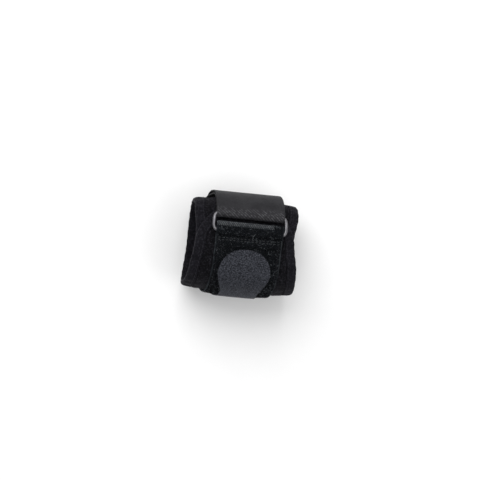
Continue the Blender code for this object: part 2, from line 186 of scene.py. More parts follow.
HOOK_WIRE = 0.00012
HOOK_SIDES = 4

# Each hook bends forward as it goes down: (forward, down)
HOOK_PROFILE = ((0, 0), (0.00002, 0.00022), (0.00008, 0.00036), (0.00019, 0.00040), (0.00027, 0.00032))

# Gloss of cloth and metal, as shares
CLOTH_GLOSS = 0.05
METAL_GLOSS = 0.5

# Photograph's view, in metres and degrees
PHOTO_PIXELS = 480
PIXEL = 0.00072
HOLLOW_PIXEL = (241.4, 246.7)
VIEW_TILT = 7.5
VIEW_ROLL = 5.5
VIEW_DISTANCE = 1.2

# Light: each lamp's name, place and size in metres, and its power
WORLD_STRENGTH = 0.68
LAMP_TARGET = Vector((0, 0, 0.03))
LAMPS = (
    ("key", Vector((-0.40, 0.85, 0.95)), 1.4, 15.0),
    ("fill", Vector((0.7, -0.2, 0.9)), 0.8, 2.0),
)
FLOOR_SIZE = 6


def smoothed(values, window):
    """A closed row of values, each made the mean of the window round it."""
    wrapped = np.concatenate((values[-window:], values, values[:window]))
    kernel = np.ones(2 * window + 1) / (2 * window + 1)
    return np.convolve(wrapped, kernel, mode="valid")


def lengths_along(points):
    """The distance travelled at each point of an open row."""
    steps = np.linalg.norm(np.diff(points, axis=0), axis=1)
    return np.concatenate(([0], np.cumsum(steps)))


def superellipse(half_width, half_depth, squareness, angles):
    """Points (y, z) of a superellipse at these angles from +Z towards +Y."""
    power = 2 / squareness
    y = half_width * np.sign(np.sin(angles)) * np.abs(np.sin(angles)) ** power
    z = half_depth * np.sign(np.cos(angles)) * np.abs(np.cos(angles)) ** power
    return np.column_stack((y, z))


class Hollow:
    """The outline of the wrist's hollow, with its length and outward normals."""

    def __init__(self):
        angles = np.linspace(0, 2 * math.pi, 8 * OUTLINE_SAMPLES)
        front = superellipse(HOLLOW_WIDTH / 2, HOLLOW_DEPTH / 2, FRONT_SQUARENESS, angles)
        back = superellipse(HOLLOW_WIDTH / 2, HOLLOW_DEPTH / 2 + BACK_TRIM, BACK_SQUARENESS, angles)
        points = np.where(front[:, 1:] > 0, front, back)
        points[:, 1] = np.maximum(points[:, 1], -HOLLOW_DEPTH / 2)
        travelled = lengths_along(points)
        even = np.linspace(0, travelled[-1], OUTLINE_SAMPLES, endpoint=False)
        y = np.interp(even, travelled, points[:, 0])
        z = np.interp(even, travelled, points[:, 1])
        window = OUTLINE_SAMPLES // 90
        slope_y = smoothed(np.roll(y, -1) - np.roll(y, 1), window)
        slope_z = smoothed(np.roll(z, -1) - np.roll(z, 1), window)
        size = np.hypot(slope_y, slope_z)
        self.length = travelled[-1]
        self.arcs = even
        self.columns = (y, z, -slope_z / size, slope_y / size)

    def read(self, arc):
        """Point and outward normal (y, z, normal y, normal z) at an arc or a row of arcs."""
        return tuple(np.interp(arc, self.arcs, column, period=self.length) for column in self.columns)

    def at(self, arc, lift):
        """The point (y, z) at this arc and lift."""
        y, z, normal_y, normal_z = self.read(arc)
        return np.array((y + lift * normal_y, z + lift * normal_z))

    def arc_at_rise(self, rise, lift):
        """The arc on the palm side where a surface of this lift is this far towards +Y."""
        arcs = np.linspace(-self.length / 4, self.length / 4, OUTLINE_SAMPLES)
        return float(np.interp(rise, self.at(arcs, lift)[0], arcs))


HOLLOW = Hollow()
BACK = HOLLOW.length / 2
FRONT = HOLLOW.length


def ease(value, start, end):
    """A smooth step from 0 at start to 1 at end."""
    share = np.clip((value - start) / (end - start), 0, 1)
    return share * share * (3 - 2 * share)


def draw_in(arc, x):
    """How far the band is drawn towards the wrist at this x, which is nothing on the flat back."""
    return EDGE_DRAW_IN * np.abs(2 * x / WRAP_WIDTH) ** 3 * np.minimum(1, 1 + HOLLOW.read(arc)[3])


def winding(arc):
    """Lift of the wrap's inner face: it climbs on to its own inner end on the way back to the palm."""
    foot = FRONT - INNER_END - GAP
    return LAYER * ease(arc, foot - LAYER_RAMP, foot)


def outer_layer(arc):
    """Lift of the inner face of whichever turn of the wrap lies outermost on the palm side."""
    return winding(arc + FRONT)


def bar_places():
    """(arc, lift) of the ring's lower and upper bar, a pitch apart on the flap and the strap."""
    lift = outer_layer(0) + SEAT + PANEL_FLAP_WALL + GAP + RING_WIRE / 2
    lower = HOLLOW.arc_at_rise(LOWER_BAR_RISE, lift)
    start = HOLLOW.at(lower, lift)
    arcs = np.linspace(lower, lower + 2 * RING_PITCH, OUTLINE_SAMPLES)
    reach = np.hypot(*(HOLLOW.at(arcs, lift) - start[:, None]))
    upper = float(np.interp(RING_PITCH, reach, arcs))
    return (lower, lift), (upper, lift)


LOWER_BAR, UPPER_BAR = bar_places()


def ring_middle():
    """The ring's middle before the model was set on the floor."""
    middle = (HOLLOW.at(*LOWER_BAR) + HOLLOW.at(*UPPER_BAR)) / 2
    return Vector((TAPE_OFFSET, *middle))


RING_LOW, RING_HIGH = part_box("ring")
SHIFT = (RING_LOW + RING_HIGH) / 2 - ring_middle()


def set_down(x, y, z):
    """World points from x along the arm and (y, z) round the hollow's middle."""
    return np.stack(np.broadcast_arrays(x + SHIFT.x, y + SHIFT.y, z + SHIFT.z), axis=-1)


def place(arc, x, lift):
    """World points on the band at this arc, x and lift."""
    y, z = HOLLOW.at(arc, lift - draw_in(arc, x))
    return set_down(x, y, z)


def skew(arc):
    """How far towards the hand the tapes lie at an arc: not at all on the palm side, and wholly on
    the back."""
    turned = (arc + BACK) % FRONT - BACK
    start = np.where(turned > 0, SKEW_THUMB_START, SKEW_FINGER_START)
    return TAPE_SKEW * ease(np.abs(turned), start, SKEW_END)


def noise(u, v, size, seed):
    """Smooth noise from -1 to 1 over a surface, with lumps about as wide as size."""
    count = 128
    lattice = np.random.default_rng(seed).uniform(-1, 1, (count, count))
    u = np.asarray(u) / size + count / 2
    v = np.asarray(v) / size + count / 2
    row = np.floor(u).astype(int)
    column = np.floor(v).astype(int)
    share_u = ease(u - row, 0, 1)
    share_v = ease(v - column, 0, 1)

    def corner(down, aside):
        return lattice[(row + down) % count, (column + aside) % count]

    near = corner(0, 0) * (1 - share_u) + corner(1, 0) * share_u
    far = corner(0, 1) * (1 - share_u) + corner(1, 1) * share_u
    return near * (1 - share_v) + far * share_v


def lumps(kind, u, v):
    """One of the kinds of lumps listed above, in metres, at these places on a cloth."""
    depth, size, seed = kind
    return depth * noise(u, v, size, seed)


# Materials


class Value:
    """A number that varies over a surface, as the output of a node."""

    def __init__(self, shader, socket):
        self.shader = shader
        self.socket = socket

    def __add__(self, other):
        return self.shader.math("ADD", self, other)

    def __sub__(self, other):
        return self.shader.math("SUBTRACT", self, other)

    def __rsub__(self, other):
        return self.shader.math("SUBTRACT", other, self)

    def __mul__(self, other):
        return self.shader.math("MULTIPLY", self, other)

    def __pow__(self, other):
        return self.shader.math("POWER", self, other)

    def __abs__(self):
        return self.shader.math("ABSOLUTE", self)

    def wave(self, pitch):
        """A sine from 0 to 1 that repeats every pitch."""
        return self.shader.math("SINE", self * (2 * math.pi / pitch)) * 0.5 + 0.5

    def steps(self, low, high):
        """0 where this is below low and 1 where it is above high."""
        made = self.shader.node("ShaderNodeMapRange", interpolation_type="SMOOTHSTEP")
        self.shader.fill(made.inputs["Value"], self)
        self.shader.fill(made.inputs["From Min"], low)
        self.shader.fill(made.inputs["From Max"], high)
        return Value(self.shader, made.outputs["Result"])


class Shader:
    """A material whose colour is laid on in layers, over a plain one for viewers that run no nodes."""

    def __init__(self, name, colour, roughness, gloss=CLOTH_GLOSS):
        self.material = bpy.data.materials.new(name)
        self.material.use_nodes = True
        self.tree = self.material.node_tree
        self.surface = self.tree.nodes["Principled BSDF"].inputs
        self.shown = (*colour, 1)
        self.fill(self.surface["Base Color"], self.shown)
        self.fill(self.surface["Roughness"], roughness)
        self.fill(self.surface["Specular IOR Level"], gloss)

    def node(self, kind, **settings):
        made = self.tree.nodes.new(kind)
        for name, value in settings.items():
            setattr(made, name, value)
        return made

    def fill(self, socket, value):
        """Gives a socket a plain value, or joins a varying one to it."""
        if isinstance(value, Value):
            self.tree.links.new(value.socket, socket)
        else:
            socket.default_value = value

    def math(self, operation, *values):
        made = self.node("ShaderNodeMath", operation=operation)
        for socket, value in zip(made.inputs, values):
            self.fill(socket, value)
        return Value(self, made.outputs[0])

    def cloth(self):
        """The place on the cloth in millimetres: along it and across it."""
        place_on = Value(self, self.node("ShaderNodeUVMap", uv_map="Cloth").outputs["UV"])
        parts = self.node("ShaderNodeSeparateXYZ")
        self.fill(parts.inputs["Vector"], place_on)
        return Value(self, parts.outputs["X"]), Value(self, parts.outputs["Y"])

    def grain(self, size, detail=2.0, roughness=0.5):
        """Noise from 0 to 1 through the object, with lumps of this size in metres."""
        place_in = Value(self, self.node("ShaderNodeTexCoord").outputs["Object"])
        made = self.node("ShaderNodeTexNoise")
        for name, value in (
            ("Vector", place_in), ("Scale", 1 / size), ("Detail", detail), ("Roughness", roughness),
        ):
            self.fill(made.inputs[name], value)
        return Value(self, made.outputs["Fac"])

    def specks(self, size, threshold):
        """Sparse specks of this size in metres: 1 on a speck and 0 between them."""
        return self.grain(size, 1.0).steps(threshold, threshold + 0.08)

    def lay(self, share, colour, under=None):
        """Lays a colour over what shows so far, or over the colour under it, by a share from 0 to 1."""
        made = self.node("ShaderNodeMix", data_type="RGBA")
        self.fill(made.inputs["Factor"], share)
        self.fill(made.inputs[6], self.shown if under is None else (*under, 1))
        self.fill(made.inputs[7], (*colour, 1))
        self.shown = Value(self, made.outputs[2])
        self.fill(self.surface["Base Color"], self.shown)

    def roughen(self, value, low, high):
        """Roughness from low to high as the value goes from 0 to 1."""
        self.fill(self.surface["Roughness"], value * (high - low) + low)

    def bump(self, height, depth):
        """Fine relief of this depth in metres where the height goes from 0 to 1."""
        made = self.node("ShaderNodeBump")
        for name, value in (("Height", height), ("Strength", 1.0), ("Distance", depth)):
            self.fill(made.inputs[name], value)
        self.fill(self.surface["Normal"], Value(self, made.outputs["Normal"]))

    def fuzz(self, weight, roughness, tint):
        """The soft sheen of short fibres."""
        self.fill(self.surface["Sheen Weight"], weight)
        self.fill(self.surface["Sheen Roughness"], roughness)
        self.fill(self.surface["Sheen Tint"], (*tint, 1))


def neoprene_material():
    """Jersey glued on foam rubber: small columns of knit loops, a little pilled."""
    shader = Shader("neoprene_jersey", (0.012, 0.011, 0.016), 0.8)
    along, across = shader.cloth()
    column = across.wave(0.62)
    knit = column**0.6 * (along + abs(column - 0.5) * 0.55).wave(0.5)
    fibres = shader.specks(0.0004, 0.66)
    patches = shader.grain(0.006, 4.0, 0.6).steps(0.3, 0.7)
    mottle = shader.grain(0.0012, 3.0, 0.6).steps(0.46, 0.76)
    shader.lay(patches, (0.0022, 0.0021, 0.0030), under=(0.0007, 0.0007, 0.0010))
    shader.lay(mottle * 0.8, (0.0340, 0.0325, 0.0400))
    shader.lay(knit * 0.35, (0.0100, 0.0095, 0.0125))
    shader.lay(fibres * 0.4, (0.040, 0.040, 0.048))
    shader.roughen(knit, 0.72, 0.9)
    shader.bump(fibres * 0.5 + knit, 0.00014)
    shader.fuzz(0.06, 0.4, (0.6, 0.58, 0.7))
    return shader.material


def binding_material():
    """Ribbed knit tape, a little lighter where it is rubbed."""
    shader = Shader("binding_rib_knit", (0.018, 0.016, 0.024), 0.8)
    along, across = shader.cloth()
    knit = across.wave(0.8) ** 0.7 * (along.wave(0.55) * 0.5 + 0.5)
    fibres = shader.specks(0.00045, 0.67)
    patches = shader.grain(0.005, 4.0, 0.6).steps(0.32, 0.7)
    mottle = shader.grain(0.0013, 3.0, 0.6).steps(0.44, 0.78)
    shader.lay(patches, (0.0060, 0.0057, 0.0078), under=(0.0026, 0.0025, 0.0035))
    shader.lay(mottle * 0.8, (0.0300, 0.0288, 0.0360))
    shader.lay(knit * 0.4, (0.0110, 0.0104, 0.0138))
    shader.lay(fibres * 0.3, (0.050, 0.048, 0.058))
    shader.roughen(knit, 0.68, 0.86)
    shader.bump(fibres * 0.4 + knit, 0.00016)
    shader.fuzz(0.04, 0.4, (0.6, 0.58, 0.7))
    return shader.material


def webbing_material(fold):
    """Close twill webbing: fine warp cords with slanting floats, lighter where it turns at its fold: a
    painted highlight on the turn, over floats spread by it.
    """
    shader = Shader("webbing_twill", (0.045, 0.045, 0.050), 0.55)
    along, across = shader.cloth()
    cords = across.wave(0.66) * 0.55 + 0.45
    floats = (along + across * 0.9).wave(1.05) * 0.6 + 0.4
    weave = along.wave(0.42) * 0.18 + cords * floats * 0.82
    patches = shader.grain(0.009, 4.0, 0.62).steps(0.3, 0.72)
    fold_highlight_zone = 1.0 - abs(along - fold / MM).steps(2.0, 6.5)
    fold_highlight_floats = (along + across * 0.8).wave(1.9).steps(0.45, 0.85)
    broken = shader.grain(0.0016, 2.0).steps(0.38, 0.60)
    threads = shader.grain(0.0011, 3.0, 0.7).steps(0.45, 0.75)
    shader.lay(patches, (0.0215, 0.0212, 0.0233), under=(0.0105, 0.0103, 0.0116))
    shader.lay(weave * 0.55, (0.040, 0.0395, 0.0435))
    # Painted highlight: lighter slanting marks near the fold, where the turn round the upper bar catches
    # the light, laid on floats spread by the turn.
    shader.lay(fold_highlight_zone * fold_highlight_floats * broken * 0.75, (0.090, 0.089, 0.096))
    shader.lay(threads * 0.6, (0.009, 0.009, 0.010))
    shader.roughen(weave, 0.62, 0.48)
    shader.bump(weave, 0.00013)
    shader.fuzz(0.05, 0.35, (0.8, 0.8, 0.85))
    return shader.material


def hook_tape_material():
    """The woven back of hook tape: a close ground with the hooks' roots showing as small dots."""
    shader = Shader("hook_tape_back", (0.038, 0.042, 0.055), 0.6)
    along, across = shader.cloth()
    rows = along.wave(1.3) * across.wave(1.1)
    rows_between = (along + 0.65).wave(1.3) * (across + 0.55).wave(1.1)
    dots = shader.math("MAXIMUM", rows, rows_between).steps(0.55, 0.95)
    dark = dots * shader.grain(0.0012, 3.0, 0.7).steps(0.35, 0.6)
    ground = along.wave(0.36) * across.wave(0.40)
    patches = shader.grain(0.008, 3.0, 0.6).steps(0.3, 0.7)
    flecks = shader.grain(0.0008, 2.0, 0.6).steps(0.40, 0.68)
    shader.lay(patches, (0.0135, 0.0143, 0.0180), under=(0.0085, 0.0091, 0.0118))
    shader.lay(flecks * 0.9, (0.080, 0.085, 0.102))
    shader.lay(ground * 0.55, (0.036, 0.038, 0.047))
    shader.lay(dark * 0.85, (0.0035, 0.0038, 0.0048))
    shader.roughen(ground, 0.52, 0.68)
    shader.bump(ground * 0.6 - dark * 0.6, 0.00016)
    shader.fuzz(0.06, 0.4, (0.7, 0.75, 0.9))
    return shader.material


def pile_ground_material(seam):
    """The knitted ground under the loops, with a worn selvedge as far as the seam."""
    shader = Shader("pile_ground", (0.006, 0.007, 0.009), 0.95)
    along, across = shader.cloth()
    knit = along.wave(0.7) * across.wave(0.6)
    edge = (PANEL_WIDTH / 2 - SELVEDGE) / MM
    selvedge = abs(across).steps(edge, edge + 0.3) * along.wave(0.9)
    worn = shader.grain(0.004, 2.0).steps(0.4, 0.65)
    before_seam = 1.0 - along.steps(seam / MM - 2, seam / MM)
    patches = shader.grain(0.003, 4.0, 0.65).steps(0.35, 0.7)
    shader.lay(patches, (0.0095, 0.0110, 0.0135), under=(0.0035, 0.0040, 0.0050))
    shader.lay(knit * 0.5, (0.020, 0.023, 0.028))
    shader.lay(selvedge * worn * before_seam, (0.045, 0.050, 0.054))
    shader.roughen(knit, 0.85, 0.97)
    shader.bump(knit, 0.0002)
    shader.fuzz(0.05, 0.5, (0.6, 0.7, 0.8))
    return shader.material


def crest_material():
    """Twill ground left bare by the nap."""
    shader = Shader("bare_twill", (0.03, 0.033, 0.036), 0.6)
    along, across = shader.cloth()
    weave = (along + across * 0.9).wave(1.6) * (across.wave(0.3) * 0.4 + 0.6)
    even = shader.grain(0.0013, 3.0, 0.65).steps(0.38, 0.58)
    shader.lay(weave.steps(0.15, 0.75), (0.100, 0.106, 0.112), under=(0.006, 0.007, 0.008))
    shader.lay(1.0 - even, (0.016, 0.018, 0.021))
    shader.roughen(weave, 0.7, 0.5)
    shader.bump(weave, 0.00015)
    shader.fuzz(0.2, 0.4, (0.7, 0.75, 0.8))
    return shader.material


def fibre_material(name, dark, light):
    """Nylon fibres, each loop of its own tint; on the pile the light tints are partly painted glints."""
    shader = Shader(name, dark, 0.45)
    tint = shader.node("ShaderNodeAttribute", attribute_name="tint", attribute_type="GEOMETRY")
    uneven = shader.grain(0.0002, 1.0)
    shader.lay(Value(shader, tint.outputs["Fac"]) * (uneven * 0.6 + 0.7), light, under=dark)
    shader.roughen(uneven, 0.38, 0.6)
    shader.bump(uneven, 0.00002)
    return shader.material


def thread_material(name, dark, light):
    """Twisted sewing thread."""
    shader = Shader(name, dark, 0.5)
    along, across = shader.cloth()
    twist = (along + across * 0.5).wave(0.45)
    shader.lay(twist * shader.grain(0.0015, 2.0), light, under=dark)
    shader.roughen(twist, 0.42, 0.62)
    shader.bump(twist, 0.00006)
    return shader.material


def metal_material():
    """Satin nickel on steel wire, with fine scratches and duller spots."""
    shader = Shader("satin_nickel", (0.42, 0.41, 0.43), 0.3, METAL_GLOSS)
    shader.fill(shader.surface["Metallic"], 1.0)
    cloud = shader.grain(0.0035, 4.0, 0.6).steps(0.3, 0.75)
    scratches = shader.grain(0.0004, 3.0, 0.7)
    shader.lay(cloud, (0.200, 0.195, 0.208), under=(0.120, 0.117, 0.126))
    shader.roughen(scratches, 0.30, 0.52)
    shader.bump(scratches, 0.00002)
    return shader.material


# Meshes


def new_piece(name, points, faces, material, cloth=None, node=None, tint=None, turn_out=False):
    """A smooth piece that goes with the model, with its place on the cloth kept as a map in mm."""
    mesh = bpy.data.meshes.new(name)
    mesh.from_pydata(np.asarray(points, float).reshape(-1, 3), [], faces)
    if turn_out:
        work = bmesh.new()
        work.from_mesh(mesh)
        bmesh.ops.recalc_face_normals(work, faces=work.faces)
        work.to_mesh(mesh)
        work.free()
    if cloth is not None:
        layer = mesh.uv_layers.new(name="Cloth")
        corners = np.empty(len(mesh.loops), np.int32)
        mesh.loops.foreach_get("vertex_index", corners)
        flat = np.asarray(cloth, float).reshape(-1, 2) / MM
        layer.data.foreach_set("uv", flat[corners].ravel())
    if tint is not None:
        attribute = mesh.attributes.new("tint", "FLOAT", "POINT")
        attribute.data.foreach_set("value", np.asarray(tint, float).ravel())
    mesh.materials.append(material)
    mesh.shade_smooth()
    piece = bpy.data.objects.new(name, mesh)
    bpy.context.scene.collection.objects.link(piece)
    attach(piece, "root")
    if node:
        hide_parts(node)
    return piece


def quads(index):
    """Four-sided faces between the neighbours in a grid of point numbers."""
    corners = (index[:-1, :-1], index[:-1, 1:], index[1:, 1:], index[1:, :-1])
    return np.stack(corners, axis=-1).reshape(-1, 4).tolist()


def tube_faces(rows, around, ends=None):
    """Faces of a tube made of closed rows of points, whose ends are open, "capped" or "joined"."""
    index = np.arange(rows * around).reshape(rows, around)
    caps = [index[0, ::-1].tolist(), index[-1].tolist()] if ends == "capped" else []
    if ends == "joined":
        index = np.concatenate((index, index[:1]))
    return quads(np.column_stack((index, index[:, :1]))) + caps


def tubes(centres, binormals, radii, sides):
    """Points and faces of many closed tubes. Centres are (tube, step, 3) and radii (tube, step)."""
    count, steps, _ = centres.shape
    tangents = np.gradient(centres, axis=1)
    tangents /= np.linalg.norm(tangents, axis=2, keepdims=True)
    across = np.broadcast_to(binormals[:, None, :], tangents.shape)
    up = np.cross(across, tangents)
    up /= np.linalg.norm(up, axis=2, keepdims=True)
    side = np.cross(tangents, up)
    turns = 2 * math.pi * np.arange(sides)[:, None] / sides
    ring = np.cos(turns) * up[:, :, None, :] + np.sin(turns) * side[:, :, None, :]
    points = centres[:, :, None, :] + radii[:, :, None, None] * ring
    starts = np.arange(count) * steps * sides
    walls = np.array(tube_faces(steps, sides))
    faces = (walls + starts[:, None, None]).reshape(-1, 4).tolist()
    for start in starts.tolist():
        last = start + (steps - 1) * sides
        faces.append(list(range(start + sides - 1, start - 1, -1)))
        faces.append(list(range(last, last + sides)))
    return points.reshape(-1, 3), faces


# Wrap and binding


def wrap_half_edge():
    """(arc, half width) along one side of the wrap, from its inner end to the tongue's tip."""
    half = WRAP_WIDTH / 2
    start = -INNER_END
    shoulder = FRONT + HOLLOW.arc_at_rise(TONGUE_SHOULDER_RISE, LAYER + WRAP_WALL)
    corner = [
        (start + INNER_CORNER * (1 - math.cos(turn)), half - INNER_CORNER * (1 - math.sin(turn)))
        for turn in np.radians((0, 30, 60))
    ]
    straight = [(arc, half) for arc in np.linspace(start + INNER_CORNER, shoulder, 30)]
    tongue = [
        (shoulder + TONGUE_LENGTH * math.sin(turn) ** (2 / TONGUE_FULLNESS), half * math.cos(turn))
        for turn in np.radians(TONGUE_TURNS)
    ]
    return np.array(corner + straight + tongue)


def flare(arc):
    """Share of the flare by which both edges reach further on the side away from the thumb."""
    return 1 - ease(np.abs(arc - 0.75 * FRONT), 0, FRONT / 4)


def waist(arc):
    """Share of the waist that the strap pulls into both turns of the band, beside the ring."""
    middle = HOLLOW.arc_at_rise(WAIST_RISE, LAYER + WRAP_WALL)
    return 1 - ease(np.minimum(np.abs(arc - middle), np.abs(arc - FRONT - middle)), 0, WAIST_REACH)


def wrap_edge(half_edge, side):
    """The edge on the elbow's side (+1) or the hand's (-1), from its arcs and plain half widths."""
    arc, half = half_edge.T
    flared, drawn = (ELBOW_FLARE, ELBOW_WAIST) if side > 0 else (HAND_FLARE, HAND_WAIST)
    reach = flared * flare(arc) - drawn * waist(arc)
    return np.column_stack((arc, side * half * (1 + reach * 2 / WRAP_WIDTH)))


def ways_in(outline):
    """For each point of a closed clockwise row, the way into the cloth, a metre for each metre inset."""
    into = outline - np.roll(outline, 1, axis=0)
    out = np.roll(outline, -1, axis=0) - outline
    into = into / np.hypot(into[:, :1], into[:, 1:])
    out = out / np.hypot(out[:, :1], out[:, 1:])
    heading = into + out
    heading = heading / np.hypot(heading[:, :1], heading[:, 1:])
    stretch = np.maximum(0.7, np.sum(heading * into, axis=1, keepdims=True))
    return np.column_stack((heading[:, 1], -heading[:, 0])) / stretch


def curved(knots, values, wanted):
    """Values read off a smooth curve through the rows given at the knots."""
    slopes = np.gradient(values, knots, axis=0)
    index = np.clip(np.searchsorted(knots, wanted) - 1, 0, len(knots) - 2)
    span = (knots[index + 1] - knots[index])[:, None]
    share = (wanted - knots[index])[:, None] / span
    left = 1 - share
    start = values[index] * (1 + 2 * share) + slopes[index] * span * share
    end = values[index + 1] * (1 + 2 * left) - slopes[index + 1] * span * left
    return start * left**2 + end * share**2


def split_ring(ring, side, end):
    """The stretches of a closed row round the wrap: near side and tip as they come, and far side and
    root turned round, so that each side runs to the tip and each end runs from near to far."""
    near, tip, far, root = np.split(ring, np.cumsum((side, end, side)))
    return near, tip, far[::-1], root[::-1]


def join_ring(near, tip, far, root):
    return np.concatenate((near, tip, far[::-1], root[::-1]))


class Edge:
    """The wrap's finished edge as a fine closed row, with the way into the cloth at each point."""

    def __init__(self, columns, cell):
        plain = wrap_half_edge()
        near = wrap_edge(plain, 1)
        far = wrap_edge(plain, -1)
        tip = np.linspace(near[-1], far[-1], END_STEPS + 1)[1:-1]
        root = np.linspace(near[0], far[0], END_STEPS + 1)[1:-1]
        ways = ways_in(join_ring(near, tip, far, root))
        near_ways, tip_ways, far_ways, root_ways = split_ring(ways, len(near), END_STEPS - 1)
        travelled = lengths_along(plain)
        self.side = math.ceil(travelled[-1] / cell)
        self.end = columns - 1
        wanted = np.linspace(0, travelled[-1], self.side)
        fine = curved(travelled, plain, wanted)
        fine[:, 1] = np.minimum(fine[:, 1], WRAP_WIDTH / 2)
        places = np.linspace(0, 1, columns + 1)[1:-1]
        knots = np.linspace(0, 1, END_STEPS + 1)

        def between(start, rows, end):
            known = np.vstack((start, rows, end))
            return np.column_stack([np.interp(places, knots, column) for column in known.T])

        self.outline = join_ring(
            wrap_edge(fine, 1),
            between(near[-1], tip, far[-1]),
            wrap_edge(fine, -1),
            between(near[0], root, far[0]),
        )
        self.ways = join_ring(
            curved(travelled, near_ways, wanted),
            between(near_ways[-1], tip_ways, far_ways[-1]),
            curved(travelled, far_ways, wanted),
            between(near_ways[0], root_ways, far_ways[0]),
        )
        steps = np.hypot(*(self.outline - np.roll(self.outline, 1, axis=0)).T)
        self.travelled = np.cumsum(steps) - steps[0]

    def inset(self, distance):
        return self.outline + np.reshape(distance, (-1, 1)) * self.ways

    def split(self, ring):
        return split_ring(ring, self.side, self.end)


def past_tapes(arc, x):
    """How far a place on the band lies outside the tapes' edges, or below 0 how far inside them."""
    across = x - TAPE_OFFSET + skew(arc)
    return np.maximum(across, -across - STRAP_DRIFT) - STRAP_WIDTH / 2


def beside_tapes(arc, x, margin=0.0012, reach=0.0022):
    """From 0 under the tapes to 1 clear of their edges, so that nothing rises into them."""
    return ease(past_tapes(arc, x) - margin, 0, reach)


def layers_clear(arc):
    """0 where two turns of the wrap lie on each other and 1 where one lies alone."""
    tongue_tip = wrap_half_edge()[-1, 0] - FRONT
    foot = FRONT - INNER_END
    past_tip = ease(arc, tongue_tip, tongue_tip + 0.3 * LAYER_RAMP)
    return past_tip * (1 - ease(arc, foot - 1.5 * LAYER_RAMP, foot - LAYER_RAMP))


def puckers(travelled, seed):
    """Unequal gathers along a seam, from -1 to 1."""
    drift = 0.0016 * noise(travelled, 0, 0.011, seed)
    beat = np.sin(2 * math.pi * (travelled + drift) / GATHER_PITCH)
    return beat * (0.65 + 0.35 * noise(travelled, 0.3, 0.015, seed + 1))


def wrap_relief(arc, x, outside):
    """Gathers, folds and creases of the band's jersey, and the dent beside the tapes' edges."""
    from_seam = np.abs(x) - (WRAP_WIDTH / 2 - BINDING_FACE - BINDING_GROOVE)
    near_seam = np.exp(np.minimum(0, from_seam) / GATHER_REACH)
    relief = GATHER_DEPTH * puckers(arc + 0.002 * np.sign(x), GATHER_SEED) * near_seam
    relief += lumps(JERSEY_FOLDS, arc, x) + lumps(JERSEY_CREASES, arc, x)
    alone = layers_clear(arc)
    if not outside:
        return 0.4 * relief * alone
    clear = beside_tapes(arc, x)
    pressed = PRESS_DEPTH * (1 - ease(np.abs(past_tapes(arc, x)), 0, PRESS_REACH))
    raised = np.maximum(0, relief) * clear * (0.35 + 0.65 * alone)
    return raised + np.minimum(0, relief) * (0.3 + 0.7 * clear) - pressed


def make_wrap(material):
    """The foam-rubber band with its seams drawn in beside the binding."""
    columns = math.ceil(WRAP_WIDTH / CLOTH_CELL)
    edge = Edge(columns, CLOTH_CELL)
    field = edge.inset(BINDING_FACE + BINDING_GROOVE)
    field_near, _, field_far, _ = edge.split(field)
    shares = np.arange(1, columns)[:, None] / columns
    points = []
    cloth = []
    faces = []

    def add_row(row, squeeze, outside):
        """Adds points that lie a squeeze inside the wall's face, with relief where that is nothing."""
        arc, x = row.T
        depth = squeeze if squeeze else -wrap_relief(arc, x, outside)
        lift = WRAP_WALL - depth if outside else depth
        first = sum(map(len, points))
        points.append(place(arc, x, winding(arc) + lift))
        cloth.append(row)
        return np.arange(first, first + len(row))

    def join_rings(*rings):
        faces.extend(quads(np.array([np.append(ring, ring[0]) for ring in rings])))

    rims = []
    for outside in (True, False):
        rim = add_row(edge.inset(EDGE_SQUEEZE), EDGE_SQUEEZE, outside)
        sewn = add_row(edge.inset(BINDING_FACE), EDGE_SQUEEZE, outside)
        rising = add_row(edge.inset(BINDING_FACE + BINDING_GROOVE / 2), EDGE_SQUEEZE / 3, outside)
        full = add_row(field, 0, outside)
        join_rings(rim, sewn, rising, full)
        rims.append(rim)
        near, tip, far, root = edge.split(full)
        rows = [
            add_row(start + shares * (end - start), 0, outside)
            for start, end in zip(field_near[1:-1], field_far[1:-1])
        ]
        faces.extend(quads(np.column_stack((near, np.array([root, *rows, tip]), far))))
    join_rings(*rims)
    return new_piece(
        "wrap_foam_jersey", np.vstack(points), faces, material,
        cloth=np.vstack(cloth), node="neoprene_wrap", turn_out=True,
    )


def binding_lift(distance, travelled, arc, x, outside):
    """Height of the binding's face over the middle of the wall, at a distance from the edge."""
    half = WRAP_WALL / 2
    round_share = np.clip(distance / (0.8 * half), 0, 1)
    rounded = half * np.sqrt(1 - (1 - round_share) ** 2.2)
    clear = beside_tapes(arc, x) if outside else layers_clear(arc)
    across = np.clip(distance / BINDING_FACE, 0, 1)
    gathers = puckers(travelled, GATHER_SEED) * np.sin(math.pi * across**0.8)
    puff = (PUFF + GATHER_DEPTH * gathers + lumps(BINDING_LUMPS, travelled, distance)) * clear
    seam = np.exp(-(((distance - BINDING_FACE + SEAM_INSET) / BINDING_VALLEY) ** 2))
    return rounded + (puff - (PUFF + 0.00008 * gathers) * seam) * round_share


